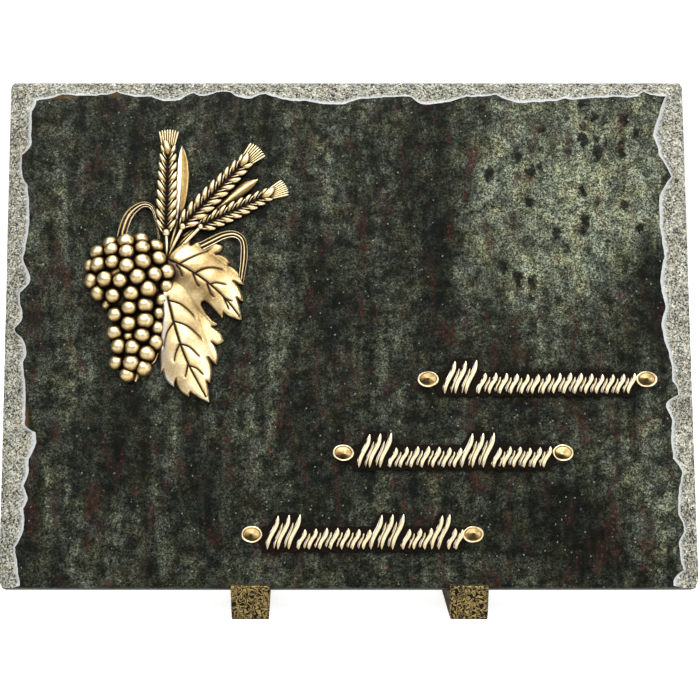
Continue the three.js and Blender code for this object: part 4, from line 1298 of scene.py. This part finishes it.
for line, widths, heights in RIBBON_LINES:
    ribbon = sweep("ribbon", smooth_path(line, 9), ribbon_section(widths, heights))
    mark(ribbon, "tone", by_place=[0.5, 0.5] + [0.06 + 0.8 * (1 - ridges(t)) for t in RIBBON_ACROSS])
    # Painted highlight: a thin pale silvery line along the ribbon's outer edges.
    mark(ribbon, "painted_sheen", by_place=[0, 0.6] + [0.8 * (t > 0.9) for t in RIBBON_ACROSS])
    ornament_parts.append(ribbon)
tendril = sweep("tendril", smooth_path(TENDRIL, 8), lambda share: round_section(1.1 - 0.3 * share))
ornament = join(ornament_parts + [tendril], "ornament")
print("ornament triangles:", triangles(ornament))

# %% [markdown]
# Patina is where polishing cloth doesn't reach. From every point a few rays are sent out into the open: if
# most of them hit metal or the stone close by, the point sits in a hollow and stays dark. Painted shade is
# added on top: sides that face away from the front are darker, and the leaf gets broad patches of painted
# shade. A pale painted sheen, which stands for reflections, is stored beside it. This is worked out once and
# stored on the mesh, so it also stays with the model outside Blender.

# %% Patina from hollows, with painted shade and sheen
RAYS, RAY_REACH = 16, 9.0
HOLLOW_DARK, SIDE_PAINTED_SHADE, LEAF_HOLLOW_DARK, GROOVE_DARK = 1.7, 0.3, 0.8, 0.95


def ray_directions(count):
    """Directions spread over a half sphere, more of them straight out."""
    rays = []
    for i in range(count):
        rise = math.sqrt(1 - (i + 0.5) / count)
        turn = i * math.pi * (3 - math.sqrt(5))
        side = math.sqrt(1 - rise * rise)
        rays.append(Vector((side * math.cos(turn), side * math.sin(turn), rise)))
    return rays


def hollow_shares(piece):
    """For each point of a flat-lying piece, the share of rays that meet metal or stone close by."""
    tree = BVHTree.FromObject(piece, bpy.context.evaluated_depsgraph_get())
    rays = ray_directions(RAYS)
    shares = np.zeros(len(piece.data.vertices))
    for i, vertex in enumerate(piece.data.vertices):
        normal = vertex.normal
        if normal.z < -0.5:
            shares[i] = 1.0
            continue
        turn = normal.to_track_quat("Z", "Y")
        start = vertex.co + normal * 0.05
        hits = 0.0
        for ray in rays:
            way = turn @ ray
            to_stone = start.z / -way.z if way.z < -0.01 else math.inf
            met = tree.ray_cast(start, way, RAY_REACH)[3]
            distance = min(to_stone, met if met is not None else math.inf)
            if distance < RAY_REACH:
                hits += 1 - distance / RAY_REACH
        shares[i] = hits / RAYS
    return shares


hollow = hollow_shares(ornament)
points = np.array([vertex.co for vertex in ornament.data.vertices])
out = np.array([vertex.normal.z for vertex in ornament.data.vertices])
surface, groove = leaf_surface(points[:, :2])
on_leaf = np.abs(points[:, 2] - surface) < 0.05
# Painted shade: sides that face away from the front are darker, and each part's own tone is added, which holds
# the grapes' painted shade.
darkness = HOLLOW_DARK * hollow - 0.12 + SIDE_PAINTED_SHADE * np.clip(0.45 - out, 0, 1) + stored(ornament, "tone")
leaf_dark = LEAF_HOLLOW_DARK * hollow[on_leaf] + leaf_tarnish_and_painted_shade(points[on_leaf, :2])
darkness[on_leaf] = np.maximum(leaf_dark, GROOVE_DARK * groove[on_leaf])
store(ornament, "patina_and_painted_light", np.clip(darkness, 0, 1))
# Painted reflection: a pale silvery sheen along the leaf's left margin, and a faint one all over the leaf.
from_margin, _ = way_to(points[:, :2], PAINTED_SHEEN_MARGIN)
leaf_painted_sheen = 0.05 + 0.7 * np.exp(-(from_margin / 1.9) ** 2)
store(ornament, "painted_sheen", np.where(on_leaf, leaf_painted_sheen, stored(ornament, "painted_sheen")))
dress(ornament, bronze)
smooth(ornament, 38)
hand_over(ornament, "vine_casting", FACE, "bronze", "vine_ornament")

# %% [markdown]
# Each inscription is a strip of dark bronze with raised, polished strokes on it. Here the strokes are plain
# slanted ones, thick and thin by turns, and they spell nothing. A stroke is a slanted lens, extruded up with
# a broad foot and an eased top, because a casting has no sharp corners.

# %% Strokes
PLATE_TOP, STROKE_TOP = 2.3, 4.5
STROKE_FOOT, LOW, TALL, STROKE_SLANT = -8.4, 11.8, 19.6, 18.0
# A stroke's section: height above the face, and inset from its outline.
STROKE_PROFILE = [(PLATE_TOP - 1.0, -0.5), (PLATE_TOP + 0.3, -0.5), (PLATE_TOP + 0.45, -0.1),
                  (STROKE_TOP - 0.55, 0.0), (STROKE_TOP - 0.15, 0.16), (STROKE_TOP, 0.42)]


def lean_over(height):
    return height * math.tan(math.radians(STROKE_SLANT))


def stroke_ring(x, foot, height, width, z, inset):
    """A slanted lens with a slight swing."""
    half = max(0.08, width / 2 - inset)
    shares = [k / 9 - 0.5 for k in range(10)]

    def edge(side):
        points = []
        for t in shares:
            body = math.cos(math.pi * t) ** 0.38 if abs(t) < 0.499 else 0.12
            swing = 0.3 * width * math.sin(2 * math.pi * t)
            y = foot + (t + 0.5) * height
            y = min(max(y, foot + inset), foot + height - inset)
            points.append((x + lean_over(t * height) + side * half * body + swing, y, z))
        return points

    return edge(1) + edge(-1)[::-1]


def stroke(x, foot, height, width):
    """One raised stroke."""
    rings = [stroke_ring(x, foot, height, width, z, inset) for z, inset in STROKE_PROFILE]
    return extrude_rings("stroke", rings)


print("rings of a stroke:", len(STROKE_PROFILE))

# %% [markdown]
# The strip under the strokes follows them: its edge runs round their feet and tops in small waves, rises
# where they are tall, and has a lug for a screw at each end. The strip is dark and only the strokes are
# polished, so the patina goes by height. Here and there on the upper left of a stroke's foot a glint is
# painted: the metal there is made pale and silvery and less dark.

# %% Inscription strips
CAP_PITCH, STROKE_STEP, WAVE = 126.0, 6.1, 8.2
THICK_STROKE, THIN_STROKE, THIN_SHARE = 2.6, 1.2, 0.74
MARGIN, LEAD, LUG = 1.4, 4.2, 2.2
# The rows: the place of the left cap, and groups of strokes by start, number and height.
ROWS = {
    "upper": ((46.1, 119.5), [(12.5, 2, TALL), (31, 11, LOW)]),
    "middle": ((-3.0, 76.8), [(12, 2, TALL), (28.5, 5, LOW), (71, 2, TALL), (88, 4, LOW)]),
    "lower": ((-55.3, 30.0), [(12, 2, TALL), (28.5, 5, LOW), (71, 2, TALL), (88, 2, LOW), (105.5, 1, TALL),
                              (114, 1, LOW)]),
}


def strip_outline(groups):
    """The strip's edge: lugs at the ends, waves under the strokes and over them, high where they're tall."""
    bottom, top = STROKE_FOOT - MARGIN, STROKE_FOOT + LOW + MARGIN
    rise = TALL - LOW
    xs = np.linspace(6.5, CAP_PITCH - 7.5, 110)
    below = [(x, bottom + 0.55 * math.cos(2 * math.pi * (x - 12) / WAVE)) for x in xs]
    above = []
    for x in xs[::-1]:
        high = 0.0
        for start, count, height in groups:
            if height == TALL:
                first, last = start - LEAD + 0.5, start + (count - 1) * WAVE + LEAD
                climb, fall = np.clip([(x - first) / 2.5, (last - x) / 2.5], 0.0, 1.0)
                high = max(high, climb * fall)
        y = top + rise * high + 0.35 * math.cos(2 * math.pi * (x - 14) / WAVE)
        above.append((x + lean_over(y * 0.9) * (0.4 + 0.6 * high), y))
    ends = [(CAP_PITCH - 2, -LUG), (CAP_PITCH, -LUG), (CAP_PITCH, LUG), (CAP_PITCH - 3, LUG)]
    return [(0.0, LUG), (0.0, -LUG), (2.0, -LUG)] + below + ends + above + [(3.0, LUG)]


for row, (place, groups) in ROWS.items():
    outline = strip_outline(groups)
    centre_y = sum(y for _, y in outline) / len(outline)
    rings = [[(x, y, z) for x, y in outline] for z in (CLEARANCE, PLATE_TOP - 0.25)]
    rings.append([(x, mix(y, centre_y, 0.02), PLATE_TOP) for x, y in outline])
    parts = [extrude_rings("strip", rings)]
    for start, count, height in groups:
        room = (count - 1) * WAVE + 0.5 * WAVE
        number = round(room / STROKE_STEP) + 1
        for i in range(number):
            x = start + i * room / (number - 1)
            unlike = 0.5 * math.sin(1.9 * x)
            parts.append(stroke(x, STROKE_FOOT - 0.2, height + unlike, THICK_STROKE))
            if i < number - 1:
                foot = STROKE_FOOT + 0.6 + unlike
                parts.append(stroke(x + 0.5 * STROKE_STEP, foot, THIN_SHARE * height, THIN_STROKE))
    strip = join(parts, "strip")
    darkness, glints = [], []
    # Painted glints: on the brim at a stroke's foot, where it faces up and left, patches are made pale and
    # less dark.
    for vertex in strip.data.vertices:
        z = vertex.co.z
        on_brim = PLATE_TOP + 0.1 < z < PLATE_TOP + 0.6
        upper_left = vertex.normal.y - vertex.normal.x > 0.15
        glint = 1.0 if on_brim and upper_left and noise.noise(vertex.co / 2.6) > -0.1 else 0.0
        darkness.append(0.05 if z > STROKE_TOP - 0.6 else 0.9 - 0.85 * glint)
        glints.append(0.05 if z > STROKE_TOP - 0.6 else glint)
    store(strip, "patina_and_painted_light", darkness)
    store(strip, "painted_sheen", glints)
    dress(strip, bronze)
    smooth(strip, 30)
    seat = FACE @ Matrix.Translation((*place, 0))
    hand_over(strip, f"inscription_strip_{row}", seat, "bronze", f"inscription_{row}")

# %% [markdown]
# Oval caps hide the screws at the strips' ends. Each was beaten by hand: a rolled rim, a groove inside it
# and a low cone whose point is never quite in the middle.

# %% Oval caps
CAP_WIDTH, CAP_HEIGHT, CAP_FLOOR, CAP_POINTS = 12.2, 9.4, 2.6, 40
GROOVE_PLACE = 0.8
# From the rim to the crown: the size as a share of the whole, and the rise above the strip.
CAP_PROFILE = [(0.95, 0.0), (1.0, 0.25), (1.0, 0.9), (0.97, 1.15), (0.92, 1.3), (0.86, 1.25), (0.8, 1.0),
               (0.74, 1.05), (0.62, 1.5), (0.45, 2.1), (0.28, 2.65), (0.14, 3.05), (0.05, 3.22)]


def cap_rings(seed):
    """The rings of one cap. Its point is off the middle and its round is dented, each cap in its own way."""
    shift = Vector((math.cos(seed * 2.1 + 0.5), math.sin(seed * 1.3) - 0.3)) * 0.9
    rings = []
    for size, rise in CAP_PROFILE:
        ring = []
        for turn in (2 * math.pi * i / CAP_POINTS for i in range(CAP_POINTS)):
            dent = 1 + 0.03 * math.sin(2 * turn + seed) + 0.014 * math.sin(5 * turn + 3 * seed)
            dent = min(dent, 1.0 / max(size, 0.97)) if size > 0.9 else dent
            x = 0.5 * CAP_WIDTH * size * math.cos(turn) * dent + shift.x * (1 - size)
            y = 0.5 * CAP_HEIGHT * size * math.sin(turn) * dent + shift.y * (1 - size)
            beat = 0.12 * noise.noise(Vector((x / 1.6, y / 1.6, seed * 3.3))) if rise > 1 else 0
            ring.append((x, y, CAP_FLOOR + rise + beat))
        rings.append(ring)
    return rings


for seed, (row, side) in enumerate((row, side) for row in ROWS for side in ("left", "right")):
    cap = extrude_rings("cap", cap_rings(seed + 1))
    spots = np.array([vertex.co for vertex in cap.data.vertices])
    normals = np.array([vertex.normal for vertex in cap.data.vertices])
    away = 2 * np.hypot(spots[:, 0] / CAP_WIDTH, spots[:, 1] / CAP_HEIGHT)
    groove_dark = 0.42 * np.exp(-((away - GROOVE_PLACE + 0.01) / 0.05) ** 2)
    crown_dark = 0.3 * np.exp(-(away / 0.12) ** 2)
    # Painted shade: the cone is darker on its lower left. The groove holds patina, and the point and the foot
    # of the rim are simply made darker.
    lower_left_painted_shade = 0.75 * np.maximum(0.0, -0.4 * normals[:, 0] - normals[:, 1])
    rim_dark = 0.6 * (spots[:, 2] < CAP_FLOOR + 0.5)
    darkness = groove_dark + crown_dark + (0.22 + lower_left_painted_shade) * (away < GROOVE_PLACE) + rim_dark
    store(cap, "patina_and_painted_light", np.clip(darkness, 0, 1))
    dress(cap, bronze)
    smooth(cap, 45)
    (x, y), _ = ROWS[row]
    seat = FACE @ Matrix.Translation((x + (CAP_PITCH if side == "right" else 0), y, 0))
    hand_over(cap, f"oval_cap_{row}_{side}", seat, "bronze", f"cap_{row}_{side}")

# %% [markdown]
# The feet are finished in a hammered lacquer: bronze-coloured paint whose skin shrinks into worm-like islands
# over a dark ground. The dark lines run where a noise passes through a few even levels.

# %% Hammered lacquer
ISLAND, TONE_CLOUD = 2.9, 2.4
LINE_STEP, LINE_EDGE, ISLAND_EDGE = 0.12, 0.05, 0.074

lacquer, tree, shader = new_material("hammered_bronze_lacquer")
place = add(tree, "TexCoord").outputs["Object"]
where = add(tree, "Mapping", {"Vector": place, "Scale": (1 / MM, 1 / MM, 1 / MM)})
worms = add(tree, "TexNoise", {"Vector": where, "Scale": 1 / ISLAND, "Detail": 0.0, "Distortion": 0.7})
off_line = add(tree, "Math", {0: worms, 1: LINE_STEP}, operation="PINGPONG")
island = add(tree, "MapRange", {"Value": off_line, "From Min": LINE_EDGE, "From Max": ISLAND_EDGE})
tone = add(tree, "TexNoise", {"Vector": where, "Scale": 1 / TONE_CLOUD, "Detail": 2.0})
gold = add(tree, "ValToRGB", {"Fac": tone}, stops=[(0.35, "#6c5c35"), (0.65, "#a48d58")])
skin = add(tree, "Mix", {0: island, 6: colour("#070504"), 7: gold}, data_type="RGBA")
metal_share = add(tree, "Math", {0: island, 1: 0.5}, operation="MULTIPLY")
gloss = add(tree, "MapRange", {"Value": island, "To Min": 0.5, "To Max": 0.34})
bumps = add(tree, "Bump", {"Height": island, "Strength": 0.6, "Distance": 0.15 * MM})
wire(shader, {"Base Color": skin.outputs[2], "Metallic": metal_share, "Roughness": gloss,
              "Specular IOR Level": 0.15, "Normal": bumps})
print(lacquer.name, "has", len(tree.nodes), "nodes")

# %% [markdown]
# Each foot is one casting with a lip in front, a sloping seat, an upstand behind the slab and a long tail. It
# is drawn from the side and extruded across. The side view is worked out from the slab's lean, so the seat
# fits it, and a bevel eases the edges as casting does.

# %% The feet
FOOT_CENTRES = {"foot_left": -56.0, "foot_right": 68.0}
FOOT_WIDTH, SOLE_WIDTH, FOOT_LIP = 22.5, 21.3, 2.0
FOOT_FRONT, FOOT_BACK, FOOT_TAIL = -4.18, 97.0, 5.0
UPSTAND, UPSTAND_THICK, CREST_BEVEL = 27.0, 6.0, 3.0
TAIL_SLOPE, TAIL_RISE, EASED_EDGE = 14, 0.42, 0.7


def foot_profile():
    """The side view, as (back, up) from the slab's lower front edge."""
    up = Vector((math.sin(lean), math.cos(lean)))
    through = Vector((math.cos(lean), -math.sin(lean)))
    corner = Vector((0, SEAT)) - (through + up) * CLEARANCE
    lip = corner + up * (CLEARANCE + FOOT_LIP)
    heel = corner + through * (THICK + 2 * CLEARANCE)
    crest = heel + up * UPSTAND
    crest_back = crest + through * UPSTAND_THICK
    return [(FOOT_FRONT, 0), (FOOT_BACK, 0), (FOOT_BACK, FOOT_TAIL),
            (crest_back.x + TAIL_SLOPE, crest_back.y * TAIL_RISE),
            (crest_back.x, crest_back.y - CREST_BEVEL), (crest_back.x - CREST_BEVEL, crest_back.y),
            tuple(crest), tuple(heel), tuple(corner), tuple(lip), (FOOT_FRONT, lip.y)]


for name, centre in FOOT_CENTRES.items():
    profile = foot_profile()
    rings = []
    for side in (-1, 1):
        ring = []
        for back, up in profile:
            taper = mix(SOLE_WIDTH, FOOT_WIDTH, min(1.0, up / profile[-1][1]))
            ring.append((side * taper / 2, back, up))
        rings.append(ring)
    foot = extrude_rings("foot", rings)
    edges = foot.modifiers.new("eased_edges", "BEVEL")
    edges.width = EASED_EDGE
    edges.segments = 3
    edges.limit_method = "ANGLE"
    edges.angle_limit = math.radians(20)
    pick(foot)
    bpy.ops.object.modifier_apply(modifier=edges.name)
    dress(foot, lacquer)
    smooth(foot, 30)
    seat = Matrix.Translation((centre * MM, foot_of_face.y, 0)) @ Matrix.Diagonal((MM, MM, MM, 1))
    hand_over(foot, f"{name}_casting", seat, "hammered_lacquer", name)
